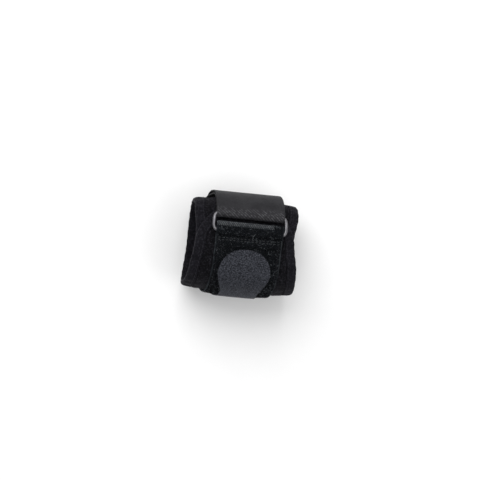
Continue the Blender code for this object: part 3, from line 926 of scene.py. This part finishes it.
def make_binding(material):
    """Knitted tape folded over the whole edge, gathered a little by its stitches."""
    edge = Edge(END_COLUMNS, BINDING_CELL)
    depth = EDGE_SQUEEZE - GAP
    outer = BINDING_FACE * np.concatenate(([0], np.linspace(0.01, 0.10, 5), np.linspace(0.14, 1, 15)))
    inner = np.array((BINDING_FACE, 0.6 * BINDING_FACE, BINDING_WALL))
    rings = []
    cloth = []

    def add_ring(distance, sign, height, wave=0):
        arc = edge.inset(distance)[:, 0]
        lift = winding(arc) + WRAP_WALL / 2 + sign * height
        rings.append(place(*edge.inset(distance + wave).T, lift))
        cloth.append(np.column_stack((edge.travelled, np.full(len(arc), sign * distance))))

    for sign, outside in ((1, True), (-1, False)):
        for distance in (outer[::-1] if outside else outer[1:]):
            arc, x = edge.inset(distance).T
            height = binding_lift(distance, edge.travelled, arc, x, outside)
            wave = HEM_WAVE * puckers(edge.travelled + 0.002, HEM_SEED) * (1 - distance / BINDING_FACE)
            add_ring(distance, sign, height, wave * beside_tapes(arc, x) if outside else 0)
    for sign, row in ((-1, inner), (1, inner[::-1])):
        for distance in row:
            add_ring(distance, sign, WRAP_WALL / 2 - depth)
    return new_piece(
        "binding_tape", rings, tube_faces(len(rings), len(edge.travelled), "joined"), material,
        cloth=np.array(cloth), node="edge_binding", turn_out=True,
    )


# Stitches


def stitches(name, points, normals, thread, material, slot, length=STITCH_LENGTH, space=STITCH_SPACE):
    """A row of lockstitches along a line on cloth: each is a short arch that dips in at its ends."""
    travelled = lengths_along(points)
    count = int(travelled[-1] / (length + space))
    starts = (np.arange(count) + 0.5) * travelled[-1] / count - length / 2
    shares = np.linspace(0, 1, 7)
    wanted = starts[:, None] + shares * length
    centres = np.stack([np.interp(wanted, travelled, column) for column in points.T], axis=-1)
    up = np.stack([np.interp(wanted, travelled, column) for column in normals.T], axis=-1)
    arch = STITCH_RISE * (np.sin(math.pi * shares) ** 0.5 * 1.4 - 0.5)
    centres = centres + arch[:, None] * up
    binormals = np.cross(centres[:, -1] - centres[:, 0], up[:, 3])
    binormals /= np.linalg.norm(binormals, axis=1, keepdims=True)
    radii = thread / 2 * np.array((0.7, 1, 1, 1, 1, 1, 0.7)) * np.ones((count, 1))
    made, faces = tubes(centres, binormals, radii, THREAD_SIDES)
    cloth = np.stack(np.broadcast_arrays(wanted[:, :, None], np.arange(THREAD_SIDES) * MM), axis=-1)
    return new_piece(name, made, faces, material, cloth=cloth)


def edge_stitches(material):
    """The seam that holds the binding, seen on both faces."""
    edge = Edge(END_COLUMNS, BINDING_CELL)
    distance = BINDING_FACE - SEAM_INSET
    arc, x = edge.inset(distance).T
    made = []
    for name, sign in (("binding_seam_outer", 1), ("binding_seam_inner", -1)):
        height = binding_lift(distance, edge.travelled, arc, x, sign > 0) + 0.00004
        line = place(arc, x, winding(arc) + WRAP_WALL / 2 + sign * height)
        normals = (place(arc, x, winding(arc) + sign * MM) - place(arc, x, winding(arc))) / MM
        made.append(stitches(
            name, line, normals, THREAD, material, "binding_knit", space=BINDING_STITCH_SPACE,
        ))
    return made


# Tapes


def stations(path):
    """Lengths of the sections: one for each cell travelled and each turn made."""
    steps = np.diff(path.points, axis=0)
    headings = np.unwrap(np.arctan2(steps[:, 1], steps[:, 0]))
    turns = np.abs(np.diff(headings, prepend=headings[0]))
    measure = np.cumsum(np.hypot(*steps.T) / TAPE_CELL + turns / TAPE_TURN)
    measure = np.concatenate(([0], measure))
    count = math.ceil(measure[-1])
    return np.interp(np.linspace(0, measure[-1], count + 1), measure, path.travelled)


class Path:
    """The middle line of a tape in the (y, z) plane, as a dense row of points with lengths."""

    def __init__(self):
        self.points = []
        self.arcs = []
        self.walls = []

    def follow(self, arcs, lift_of, wall_of):
        """Adds points along the hollow, with the tape's inner face at the lift given."""
        for arc in arcs:
            wall = wall_of(arc)
            self.add(arc, HOLLOW.at(arc, lift_of(arc) + wall / 2), wall)

    def add(self, arc, point, wall):
        self.points.append(point)
        self.arcs.append(arc)
        self.walls.append(wall)

    def turn_round(self, arc, centre_lift, reach, outside, toward, walls):
        """Adds half a turn about a place, starting outside it (+1) or inside it (-1), by way of
        greater arcs (toward +1) or lesser ones (-1)."""
        centre = HOLLOW.at(arc, centre_lift)
        normal = np.array(HOLLOW.read(arc)[2:])
        along = np.array((normal[1], -normal[0]))
        for share in np.linspace(0, 1, 25)[1:-1]:
            turn = math.pi * share
            point = centre + reach * (outside * math.cos(turn) * normal + toward * math.sin(turn) * along)
            self.add(arc, point, walls[0] + (walls[1] - walls[0]) * share)

    def finish(self):
        """Works out the lengths and headings once the path is whole."""
        self.points = np.array(self.points)
        self.travelled = lengths_along(self.points)
        heading = np.gradient(self.points, self.travelled, axis=0)
        self.headings = heading / np.hypot(heading[:, :1], heading[:, 1:])
        self.total = self.travelled[-1]
        return self

    def read(self, length):
        """Columns y, z, heading y, heading z, wall and arc at these lengths."""
        columns = (*self.points.T, *self.headings.T, self.walls, self.arcs)
        return [np.interp(length, self.travelled, column) for column in columns]

    def length_at_arc(self, arc):
        """The length at which the path first comes to this arc."""
        passed = np.nonzero(np.diff(np.sign(np.array(self.arcs) - arc)))[0]
        return self.travelled[passed[0]]


class Tape:
    """A tape along a path: its width, its own drift to the hand, and its share of the band's curve."""

    def __init__(self, path, half_width_of, drift_of, follows_of):
        self.path = path
        self.half_width_of = half_width_of
        self.drift_of = drift_of
        self.follows_of = follows_of

    def middle(self, length):
        """The x of the tape's middle line."""
        return TAPE_OFFSET - skew(self.path.read(length)[5]) - self.drift_of(length, self.path.total)

    def surface(self, length, across, height):
        """World points at a length along the tape, a place across it from its middle line, and a
        height over its middle layer."""
        y, z, head_y, head_z, _, arc = self.path.read(length)
        x = self.middle(length) + across
        sag = draw_in(arc, x) * self.follows_of(arc)
        _, _, in_y, in_z = HOLLOW.read(arc)
        return set_down(x, y - height * head_z - sag * in_y, z + height * head_y - sag * in_z)

    def directions(self, length):
        """The ways along the tape, across it and out of its upper face."""
        _, _, head_y, head_z, _, _ = self.path.read(length)
        none = np.zeros_like(head_y)
        along = np.stack((none, head_y, head_z), axis=-1)
        across = np.stack((none + 1, none, none), axis=-1)
        return along, across, np.stack((none, -head_z, head_y), axis=-1)


def tape_piece(name, tape, columns, upper, lower, material, node, lengths=None):
    """A closed tape with rounded edges. Upper and lower give the heights of its two faces."""
    path = tape.path
    if lengths is None:
        lengths = stations(path)
    half = np.array([tape.half_width_of(length, path.total) for length in lengths])[:, None]
    rounding = np.minimum(0.4 * path.read(lengths)[4][:, None], half / 2)
    face = np.linspace(-1, 1, columns) * (half - rounding)
    along = np.broadcast_to(lengths[:, None], face.shape)
    high = upper(along, face)
    low = lower(along, face)

    def rounded_edge(side, top, bottom):
        turns = side * np.radians((60, 30, 0, -30, -60))
        x = side * (half - rounding + rounding * np.cos(turns))
        return x, (top + bottom) / 2 + (top - bottom) / 2 * np.sin(turns)

    parts = (
        (face, high),
        rounded_edge(1, high[:, -1:], low[:, -1:]),
        (face[:, ::-1], low[:, ::-1]),
        rounded_edge(-1, high[:, :1], low[:, :1]),
    )
    x = np.concatenate([part[0] for part in parts], axis=1)
    height = np.concatenate([part[1] for part in parts], axis=1)
    length = np.broadcast_to(lengths[:, None], x.shape)
    return new_piece(
        name, tape.surface(length, x, height), tube_faces(*x.shape, "capped"), material,
        cloth=np.stack((length, x), axis=-1), node=node, turn_out=True,
    )


def strap_path():
    """Webbing sewn on behind the thumb's side, turned round the upper bar and led back."""
    bar, bar_lift = UPPER_BAR
    top = FRONT / 4
    tongue_tip = wrap_half_edge()[-1, 0] - FRONT
    over_tongue = outer_layer(0) + SEAT
    fold = RING_WIRE / 2 + GAP + STRAP_WALL / 2
    over_bar = bar_lift + fold - STRAP_WALL / 2
    over_root = SEAT + STRAP_WALL + GAP

    def inner_pass(arc):
        return SEAT + (over_tongue - SEAT) * ease(-arc, -top - STRAP_SLOPE, -tongue_tip)

    def outer_pass(arc):
        down = ease(arc, bar, top)
        settled = ease(arc, top, STRAP_ROOT)
        seated = ease(arc, STRAP_ROOT + GAP, STRAP_ROOT + 2 * STRAP_SLOPE)
        lift = over_bar + (STRAP_CREST - over_bar) * down
        lift += (over_root - STRAP_CREST) * settled
        return lift + (SEAT - over_root) * seated

    path = Path()
    path.follow(np.linspace(STRAP_ROOT, bar, 160), inner_pass, lambda arc: STRAP_WALL)
    path.turn_round(bar, bar_lift, fold, -1, -1, (STRAP_WALL, STRAP_WALL))
    path.fold_end = len(path.points)
    path.follow(np.linspace(bar, BACK + TAB_OVERLAP / 2, 400), outer_pass, lambda arc: STRAP_WALL)
    return path.finish()


def strap_tape():
    path = strap_path()
    inner_length = STRAP_ROOT - UPPER_BAR[0]
    return Tape(
        path,
        half_width_of=lambda length, total: STRAP_WIDTH / 2,
        drift_of=lambda length, total: STRAP_DRIFT * (1 - ease(length, 0, inner_length)),
        follows_of=lambda arc: 0,
    )


def make_strap(tape, material):
    """The strap with its woven edges. Its lower face takes the noise of a place half a metre on."""

    def upper(length, x):
        ridge = ease(np.abs(x) - STRAP_WIDTH / 2, -0.0016, -0.0009)
        cords = 0.00002 * np.sin(2 * math.pi * x / 0.0022)
        waves = lumps(STRAP_WAVES, length, x) * (1 - ridge)
        nubs = 0.00003 * np.sin(2 * math.pi * length / 0.0009)
        return STRAP_WALL / 2 - 0.00010 + cords + waves + (nubs + 0.00006) * ridge

    def lower(length, x):
        return -upper(length + 0.5, x)

    return tape_piece("strap_webbing", tape, 84, upper, lower, material, "strap")


def panel_path():
    """Loop tape from the back round to the palm, folded round the lower bar with its flap beneath."""
    bar, bar_lift = LOWER_BAR
    on_wrap = outer_layer(0) + SEAT
    on_flap = on_wrap + PANEL_FLAP_WALL + GAP
    on_bar = bar_lift + RING_WIRE / 2 + GAP
    flap_end = HOLLOW.arc_at_rise(PANEL_FLAP_RISE, on_wrap)
    seam = HOLLOW.arc_at_rise(PANEL_SEAM_RISE, on_flap)
    fold = HOLLOW.arc_at_rise(PANEL_FOLD_RISE, bar_lift)

    def front_lift(arc):
        lift = outer_layer(arc) + SEAT
        lift += (on_flap - on_wrap) * ease(arc, flap_end - 2 * PANEL_WALL, flap_end - GAP)
        return lift + (on_bar - on_flap) * ease(arc, seam - PANEL_WALL / 2, bar - RING_WIRE / 4)

    def front_wall(arc):
        return PANEL_WALL + (PANEL_FOLD_WALL - PANEL_WALL) * ease(arc, seam, bar)

    path = Path()
    path.follow(np.linspace(PANEL_END - BACK, fold, 500), front_lift, front_wall)
    path.fold_start = len(path.points) - 1
    front_middle = on_bar + PANEL_FOLD_WALL / 2
    flap_middle = on_wrap + PANEL_FLAP_WALL / 2
    reach = (front_middle - flap_middle) / 2
    middle = (front_middle + flap_middle) / 2
    path.turn_round(fold, middle, reach, 1, 1, (PANEL_FOLD_WALL, PANEL_FLAP_WALL))
    path.follow(np.linspace(fold, flap_end, 80), lambda arc: on_wrap, lambda arc: PANEL_FLAP_WALL)
    path.seam = seam
    path.bar = bar
    return path.finish()


def panel_tape():
    path = panel_path()
    return Tape(
        path,
        half_width_of=lambda length, total: PANEL_WIDTH / 2,
        drift_of=lambda length, total: 0,
        follows_of=lambda arc: 1 - ease(arc, path.seam, path.bar - RING_WIRE / 2),
    )


def panel_valleys(tape, length, x):
    """Depth to which the rows of stitches draw the panel in."""

    def valley(distance, depth):
        return depth * np.exp(-((distance / PANEL_VALLEY) ** 2))

    before_seam = tape.path.length_at_arc(tape.path.seam) - length
    depth = valley(PANEL_WIDTH / 2 - np.abs(x) - EDGE_ROW_INSET, 0.00022)
    for inset, row_depth in ((SEAM_ROWS[0], 0.00030), (SEAM_ROWS[1], 0.00024), (-0.0003, 0.00034)):
        depth = np.maximum(depth, valley(before_seam - inset, row_depth))
    return depth


def make_panel(tape, material):
    """The knitted ground of the loop panel, on which the loops stand."""
    path = tape.path

    def upper(length, x):
        edge = PANEL_WIDTH / 2 - np.abs(x)
        inside = ease(edge, 0.6 * SELVEDGE, 1.4 * SELVEDGE)
        uneven = lumps(GROUND_GRAIN, length, x) + lumps(GROUND_LUMPS, length, x)
        ground = path.read(length)[4] / 2 - PILE_HEIGHT
        return ground + uneven * inside + 0.00025 * (1 - inside) - panel_valleys(tape, length, x)

    def lower(length, x):
        return -path.read(length)[4] / 2 + lumps(PANEL_BACK, length, x)

    return tape_piece("panel_ground", tape, 82, upper, lower, material, "loop_panel")


def tab_half_width(from_tip, total):
    """Half width of the tab at a distance from its tip: a round head, a neck and a wide root."""
    head = TAB_HEAD_WIDTH / 2
    rounding = 1 - (1 - min(1, from_tip / head)) ** TAB_HEAD_FULLNESS
    rounded = max(GAP, head * rounding ** (1 / TAB_HEAD_FULLNESS))
    root = total - TAB_OVERLAP
    narrow = (head - TAB_NECK_WIDTH / 2) * ease(from_tip, TAB_HEAD_LENGTH, TAB_NECK_REACH)
    widen = (TAB_ROOT_WIDTH - TAB_NECK_WIDTH) / 2 * ease(from_tip, TAB_NECK_REACH, root)
    return rounded - narrow + widen


def tab_tape():
    """Hook tape sewn under the strap's end, led round to the palm and pressed on the panel."""
    over_strap = SEAT + STRAP_WALL + GAP
    on_panel = PANEL_WALL + GAP
    tip = HOLLOW.arc_at_rise(-TAB_TIP_DROP, outer_layer(0) + SEAT + on_panel)
    start = -BACK - TAB_OVERLAP / 2
    panel_start = PANEL_END - BACK

    def lift(arc):
        settled = ease(arc, -BACK + TAB_OVERLAP / 2, panel_start)
        return over_strap + (SEAT + on_panel - over_strap) * settled + outer_layer(arc)

    path = Path()
    path.follow(np.linspace(start, tip, 500), lift, lambda arc: TAB_WALL)
    return Tape(
        path.finish(),
        half_width_of=lambda length, total: tab_half_width(total - length, total),
        drift_of=lambda length, total: TAB_DRIFT * ease(length, total / 2, total),
        follows_of=lambda arc: 1,
    )


def make_tab(tape, material):
    """The tab, cut with a round head, a little bowed where its hooks catch unevenly."""
    total = tape.path.total
    head = TAB_HEAD_WIDTH / 2
    lengths = stations(tape.path)
    tip = total - head * (1 - np.cos(np.linspace(math.pi / 2, 0.03, 40)))
    lengths = np.concatenate((lengths[lengths < total - head], tip))

    def upper(length, x):
        waves = lumps(TAB_WAVES, length, x) + lumps(TAB_GRAIN, length, x)
        sunk = 0.00015 * (1 - ease(length, 0.5 * total, 0.6 * total))
        return TAB_WALL / 2 + waves - sunk

    def lower(length, x):
        return -TAB_WALL / 2 + 0 * x

    return tape_piece(
        "tab_hook_tape", tape, 66, upper, lower, material, "hook_tab", lengths=lengths,
    )


def inside_tab(tab, panel, length, x):
    """How far a place on the panel lies inside the tab's edge, or below 0 how far outside it."""
    arc = panel.path.read(length)[5]
    total = tab.path.total
    reached = np.interp(arc, tab.path.arcs, tab.path.travelled)
    lengths = np.linspace(0, total, 400)
    halves = [tab.half_width_of(place_at, total) for place_at in lengths]
    aside = np.abs(x + panel.middle(length) - tab.middle(reached))
    beyond = (arc > tab.path.arcs[-1]) | (length > panel.path.travelled[panel.path.fold_start])
    return np.where(beyond, -0.01, np.interp(reached, lengths, halves) - aside)


def pile(name, tape, tab, start, end, material, seed):
    """Small loops that stand on the panel, leaning every way and pressed down under the tab."""
    rng = np.random.default_rng(seed)
    length = rng.uniform(start, end, 4 * PILE_LOOPS)
    reach = PANEL_WIDTH / 2 - SELVEDGE
    x = rng.uniform(-reach, reach, 4 * PILE_LOOPS)
    under = inside_tab(tab, tape, length, x)
    free = (under < PILE_UNDER_TAB) & ~on_crest(tape, length, x)
    length, x, under = (column[free][:PILE_LOOPS] for column in (length, x, under))
    count = len(length)
    along, across, out = tape.directions(length)

    def any_way():
        turn = rng.uniform(0, 2 * math.pi, count)[:, None]
        return np.cos(turn) * along + np.sin(turn) * across

    foot = tape.path.read(length)[4] / 2 - PILE_HEIGHT - 0.0001 - panel_valleys(tape, length, x)
    way = any_way()
    lean = any_way()
    clumps = 0.8 + 0.2 * noise(length, x, 0.0021, seed)
    height = rng.uniform(0.5, 1.0, count) * clumps * (PILE_HEIGHT + LOOP_RISE)
    height *= 1 - 0.5 * ease(under, -0.0004, 0.0006)
    span = rng.uniform(*LOOP_SPANS, count)
    turns = np.linspace(0, math.pi, 5)[:, None]
    rise = height[:, None, None] * np.sin(turns)
    centres = tape.surface(length, x, foot)[:, None] + rise * out[:, None]
    centres -= span[:, None, None] * np.cos(turns) / 2 * way[:, None]
    centres += 0.45 * rise * np.sin(turns) * lean[:, None]
    radii = rng.uniform(*LOOP_RADII, count)[:, None] * np.array((0.8, 1, 1, 1, 0.8))
    points, faces = tubes(centres, np.cross(way, out), radii, LOOP_SIDES)
    # Light loops, more of them in clumps: partly the fibres' uneven tone and partly painted glints where
    # loops catch the light.
    clump = noise(length, x, 0.0009, seed + 1) > 0.42
    bright = rng.uniform(0, 1, count) < np.where(clump, 0.5, 0.03)
    tint = np.where(bright, rng.uniform(0.35, 1, count), rng.uniform(0, 0.04, count))
    tint = np.repeat(tint, len(points) // count)
    return new_piece(name, points, faces, material, tint=tint)


def on_crest(tape, length, x):
    """True where the woven strip covers the panel's fold."""
    from_start = length - tape.path.travelled[tape.path.fold_start] - CREST_START
    within = (from_start > -CREST_MARGIN) & (from_start < CREST_WIDTH + CREST_MARGIN)
    return within & (x + PANEL_WIDTH / 2 < CREST_LENGTH + CREST_MARGIN)


def make_crest(tape, material):
    """The bare woven strip along the top of the panel's fold, with slanting ribs."""
    start = tape.path.travelled[tape.path.fold_start] + CREST_START
    face = tape.path.read(start)[4] / 2
    reach = np.linspace(0, CREST_LENGTH, 240)[:, None]
    x = reach - PANEL_WIDTH / 2 + 0.0001
    shares = np.linspace(0, 1, 15)[None]
    length = start + CREST_WIDTH * shares
    crown = np.sin(math.pi * shares) ** 0.5
    ends = ease(reach, 0, 0.0006) * (1 - ease(reach, CREST_LENGTH - 0.0005, CREST_LENGTH))
    slant = x + 0.9 * CREST_WIDTH * shares + lumps(CREST_WANDER, x, 0)
    ribs = np.abs(np.sin(math.pi * slant / CREST_RIB_PITCH))
    ribbed = (CREST_HEIGHT + CREST_RIB_HEIGHT * ribs) * crown
    top = face - 0.0005 + ribbed * (0.25 + 0.75 * ends)
    top = top + lumps(CREST_LUMPS, x, length) * crown
    inner = slice(-2, 0, -1)
    bottom = np.full_like(top[:, inner], face - 0.0007)
    heights = np.concatenate((top, bottom), axis=1)
    lengths = np.broadcast_to(np.concatenate((length, length[:, inner]), axis=1), heights.shape)
    across = np.broadcast_to(x, heights.shape)
    return new_piece(
        "fold_crest_strip", tape.surface(lengths, across, heights), tube_faces(*heights.shape, "capped"),
        material, cloth=np.stack((across, lengths), axis=-1), turn_out=True,
    )


def tape_stitches(name, tape, lengths, x, height, thread, material, slot, **stitch):
    """Stitches along a line on a tape's upper face."""
    points = tape.surface(lengths, x, height)
    normals = np.broadcast_to(tape.directions(lengths)[2], points.shape)
    return stitches(name, points, normals, thread, material, slot, **stitch)


def panel_stitches(tape, material, edge_material):
    """Rows of stitches across the panel below its roll and along both its edges."""
    seam = tape.path.length_at_arc(tape.path.seam)
    face = PANEL_WALL / 2 - 0.00018
    x = np.linspace(-PANEL_WIDTH / 2 + 0.0016, PANEL_WIDTH / 2 - 0.0016, 160)
    made = []
    for number, inset in enumerate(SEAM_ROWS):
        lengths = seam - inset + 0.00012 * noise(x, 0, 0.006, 80 + number)
        made.append(tape_stitches(
            f"panel_seam_row_{number + 1}", tape, lengths, x, face, SEAM_THREAD, material, "loop_pile",
            length=SEAM_STITCH_LENGTH, space=SEAM_STITCH_SPACE,
        ))
    lengths = np.linspace(0.0012, seam - 0.0042, 300)
    for name, side in (("panel_edge_row_hand", -1), ("panel_edge_row_elbow", 1)):
        x = side * (PANEL_WIDTH / 2 - EDGE_ROW_INSET) + 0.00010 * noise(lengths, 0, 0.008, 83 + side)
        made.append(tape_stitches(name, tape, lengths, x, face, EDGE_THREAD, edge_material, "loop_pile"))
    return made


def loose_thread(tape, material):
    """A short end of thread that lies on the panel's roll."""
    seam = tape.path.length_at_arc(tape.path.seam)
    shares = np.linspace(0, 1, 26)
    lengths = seam - 0.0018 + 0.0052 * shares
    x = 0.0020 + 0.0013 * shares + 0.0005 * np.sin(2.4 * math.pi * shares)
    height = tape.path.read(lengths)[4] / 2 + 0.00005 + 0.0005 * np.sin(math.pi * shares)
    radii = LOOSE_THREAD / 2 * np.ones((1, len(shares)))
    radii[0, (0, -1)] = LOOSE_THREAD / 6
    binormal = np.array([[1.0, 0.02, 0.02]])
    points, faces = tubes(tape.surface(lengths, x, height)[None], binormal, radii, THREAD_SIDES)
    cloth = np.stack(np.meshgrid(lengths, np.arange(THREAD_SIDES) * MM, indexing="ij"), axis=-1)
    return new_piece("loose_thread_end", points, faces, material, cloth=cloth)


def tab_hooks(tape, material):
    """The outermost rows of the tab's small hooks, which hold the loops beside its edge."""
    total = tape.path.total
    head = TAB_HEAD_WIDTH / 2
    rng = np.random.default_rng(91)
    feet = []
    for row in range(3):
        inset = 0.0004 + 0.0006 * row
        for length in np.arange(0.4 * total, total - inset, HOOK_PITCH):
            half = tape.half_width_of(length, total) - inset
            if half > 0:
                feet += [(length, -half), (length, half)]
        for x in np.arange(-head, head, HOOK_PITCH):
            rounding = (1 - abs(x / head) ** TAB_HEAD_FULLNESS) ** (1 / TAB_HEAD_FULLNESS)
            feet.append((total - inset - head * (1 - rounding), x * (1 - inset / head)))
    lengths, x = np.array(feet).T
    count = len(feet)
    lengths = lengths + rng.uniform(-0.0001, 0.0001, count)
    x = x + rng.uniform(-0.0001, 0.0001, count)
    base = tape.surface(lengths, x, -TAB_WALL / 2 + 0.00005)
    along, _, out = tape.directions(lengths)
    along = along * rng.choice((-1, 1), count)[:, None]
    centres = np.stack([base + ahead * along - drop * out for ahead, drop in HOOK_PROFILE], axis=1)
    radii = np.full(centres.shape[:2], HOOK_WIRE / 2)
    points, faces = tubes(centres, np.cross(out, along), radii, HOOK_SIDES)
    tint = np.repeat(rng.uniform(0, 0.4, count), len(points) // count)
    return new_piece("tab_edge_hooks", points, faces, material, tint=tint)


def tab_stitches(tape, material):
    """The box of stitches that joins the tab's root to the end of the strap."""
    half = TAB_ROOT_WIDTH / 2 - 0.0025
    face = TAB_WALL / 2 - 0.00032
    near, far = 0.0022, 0.0042
    rows = [
        (f"tab_root_row_{number + 1}", (length, length), (-half, half), 120)
        for number, length in enumerate((near, far, TAB_OVERLAP - far, TAB_OVERLAP - near))
    ]
    rows += [
        (f"tab_root_cross_{number + 1}", (far, TAB_OVERLAP - far), (-side * half, side * half), 80)
        for number, side in enumerate((1, -1))
    ]
    return [
        tape_stitches(
            name, tape, np.linspace(*lengths, count), np.linspace(*places, count), face, THREAD,
            material, "hook_tape",
        )
        for name, lengths, places, count in rows
    ]


# Ring


def make_ring(material):
    """A closed wire: two long bars where the model has them, joined by bowed ends."""
    lower = HOLLOW.at(*LOWER_BAR)
    upper = HOLLOW.at(*UPPER_BAR)
    up_y, up_z = (upper - lower) / np.hypot(*(upper - lower))
    middle_y, middle_z = (upper + lower) / 2
    half_width = STRAP_WIDTH / 2 + GAP + RING_WIRE / 2 - RING_CORNER
    half_height = RING_PITCH / 2 - RING_BOW
    quarter = math.pi / 2
    turns = (np.linspace(0, quarter, CORNER_STEPS) + quarter * np.arange(4)[:, None]).ravel()
    corners = ((1, 1), (-1, 1), (-1, -1), (1, -1))
    side_x, side_up = np.repeat(corners, CORNER_STEPS, axis=0).T
    out_x = RING_BOW * np.cos(turns)
    out_up = RING_CORNER * np.sin(turns)
    size = np.hypot(out_x, out_up)
    wire_turns = np.linspace(0, 2 * math.pi, WIRE_SIDES, endpoint=False)
    out = np.cos(wire_turns) * RING_WIRE / 2
    x = (side_x * half_width + RING_CORNER * np.cos(turns))[:, None] + out * (out_x / size)[:, None]
    rise = (side_up * half_height + RING_BOW * np.sin(turns))[:, None] + out * (out_up / size)[:, None]
    height = np.sin(wire_turns) * RING_WIRE / 2
    points = set_down(
        TAPE_OFFSET + x, middle_y + rise * up_y - height * up_z, middle_z + rise * up_z + height * up_y,
    )
    cloth = np.stack(np.meshgrid(np.arange(len(turns)), wire_turns, indexing="ij"), axis=-1) * MM
    return new_piece(
        "ring_wire", points, tube_faces(*x.shape, "joined"), material,
        cloth=cloth, node="ring", turn_out=True,
    )


# Flat sizes of the cloth


def flat_wrap():
    """Width, length and area of the band when it is laid flat, along its middle layer."""
    outline = Edge(END_COLUMNS, CLOTH_CELL).outline
    arcs = np.linspace(outline[:, 0].min(), outline[:, 0].max(), 2000)
    travelled = lengths_along(HOLLOW.at(arcs, winding(arcs) + WRAP_WALL / 2).T)
    along = np.interp(outline[:, 0], arcs, travelled)
    across = outline[:, 1]
    area = abs(np.sum(along * np.roll(across, -1) - np.roll(along, -1) * across)) / 2
    return float(np.ptp(across)), float(travelled[-1]), float(area)


def flat_binding():
    """Length of the tape that goes once round the band's edge."""
    arc, x = Edge(END_COLUMNS, CLOTH_CELL).outline.T
    line = place(arc, x, winding(arc) + WRAP_WALL / 2)
    return float(lengths_along(np.vstack((line, line[:1])))[-1])


def tape_area(tape):
    """Area of a tape of changing width."""
    lengths = np.linspace(0, tape.path.total, 600)
    widths = [2 * tape.half_width_of(length, tape.path.total) for length in lengths]
    return float(np.mean(widths) * tape.path.total)


# Floor, light and camera


def make_floor():
    shader = Shader("pale_floor", (0.9, 0.9, 0.9), 0.9)
    shader.lay(shader.grain(0.02, 2.0), (0.91, 0.91, 0.91), under=(0.89, 0.89, 0.89))
    bpy.ops.mesh.primitive_plane_add(size=FLOOR_SIZE)
    floor = bpy.context.object
    floor.name = "pale_floor"
    floor.data.materials.append(shader.material)


def make_light():
    """A white world, brighter from two lamps."""
    world = bpy.data.worlds.new("soft_white")
    world.use_nodes = True
    background = world.node_tree.nodes["Background"]
    background.inputs["Color"].default_value = (1, 1, 1, 1)
    background.inputs["Strength"].default_value = WORLD_STRENGTH
    bpy.context.scene.world = world
    for name, place_at, size, power in LAMPS:
        light = bpy.data.lights.new(name, "AREA")
        light.shape = "DISK"
        light.size = size
        light.energy = power
        lamp = bpy.data.objects.new(name, light)
        lamp.location = place_at
        lamp.rotation_euler = (LAMP_TARGET - place_at).to_track_quat("-Z", "Y").to_euler()
        bpy.context.scene.collection.objects.link(lamp)


def make_camera():
    """The photograph's view: looking down at the palm side, tilted to the hand and rolled a little."""
    tilt = math.radians(VIEW_TILT)
    roll = math.radians(VIEW_ROLL)
    back = Vector((-math.sin(tilt), 0, math.cos(tilt)))
    level_right = Vector((math.cos(tilt), 0, math.sin(tilt)))
    level_up = back.cross(level_right)
    right = math.cos(roll) * level_right + math.sin(roll) * level_up
    up = -math.sin(roll) * level_right + math.cos(roll) * level_up
    half = PHOTO_PIXELS / 2
    aside = (HOLLOW_PIXEL[0] - half) * PIXEL
    below = (HOLLOW_PIXEL[1] - half) * PIXEL
    target = Vector(SHIFT) - aside * right + below * up
    camera = bpy.data.cameras.new("photograph_view")
    camera.sensor_width = 36
    camera.lens = camera.sensor_width * (VIEW_DISTANCE - SHIFT.z) / (PHOTO_PIXELS * PIXEL)
    lens_object = bpy.data.objects.new("photograph_view", camera)
    turn = Matrix((right, up, back)).transposed().to_4x4()
    lens_object.matrix_world = Matrix.Translation(target + VIEW_DISTANCE * back) @ turn
    bpy.context.scene.collection.objects.link(lens_object)
    bpy.context.scene.camera = lens_object


def main():
    bpy.context.scene.view_settings.view_transform = "Standard"
    make_camera()
    make_light()
    make_floor()
    strap_run = strap_tape()
    panel_run = panel_tape()
    tab_run = tab_tape()
    strap_turn = strap_run.path.travelled[strap_run.path.fold_end]
    seam = panel_run.path.length_at_arc(panel_run.path.seam)
    palm_start = panel_run.path.length_at_arc(PALM_PILE_START)

    thread = thread_material("black_thread", (0.012, 0.012, 0.015), (0.06, 0.06, 0.07))
    panel_thread = thread_material("panel_thread", (0.02, 0.022, 0.025), (0.24, 0.255, 0.27))
    loose_end = thread_material("loose_end", (0.06, 0.065, 0.07), (0.36, 0.38, 0.40))
    # The pile's light colour stands partly for painted glints on the loops.
    loops = fibre_material("pile_loops", (0.0035, 0.0042, 0.0052), (0.16, 0.175, 0.19))
    hooks = fibre_material("hook_nylon", (0.01, 0.011, 0.014), (0.06, 0.065, 0.08))

    wrap = make_wrap(neoprene_material())
    binding = make_binding(binding_material())
    seams = edge_stitches(thread)
    strap = make_strap(strap_run, webbing_material(strap_turn))
    panel = make_panel(panel_run, pile_ground_material(seam))
    tab = make_tab(tab_run, hook_tape_material())
    make_ring(metal_material())
    on_panel = [
        pile("pile_palm", panel_run, tab_run, palm_start, panel_run.path.total - 0.012, loops, 61),
        pile("pile_side", panel_run, tab_run, 0.0005, palm_start, loops, 62),
        make_crest(panel_run, crest_material()),
        *panel_stitches(panel_run, panel_thread, thread),
        loose_thread(panel_run, loose_end),
    ]
    on_tab = [tab_hooks(tab_run, hooks), *tab_stitches(tab_run, thread)]

    width, length, area = flat_wrap()
    flat_binding()
    tape_area(tab_run)


main()
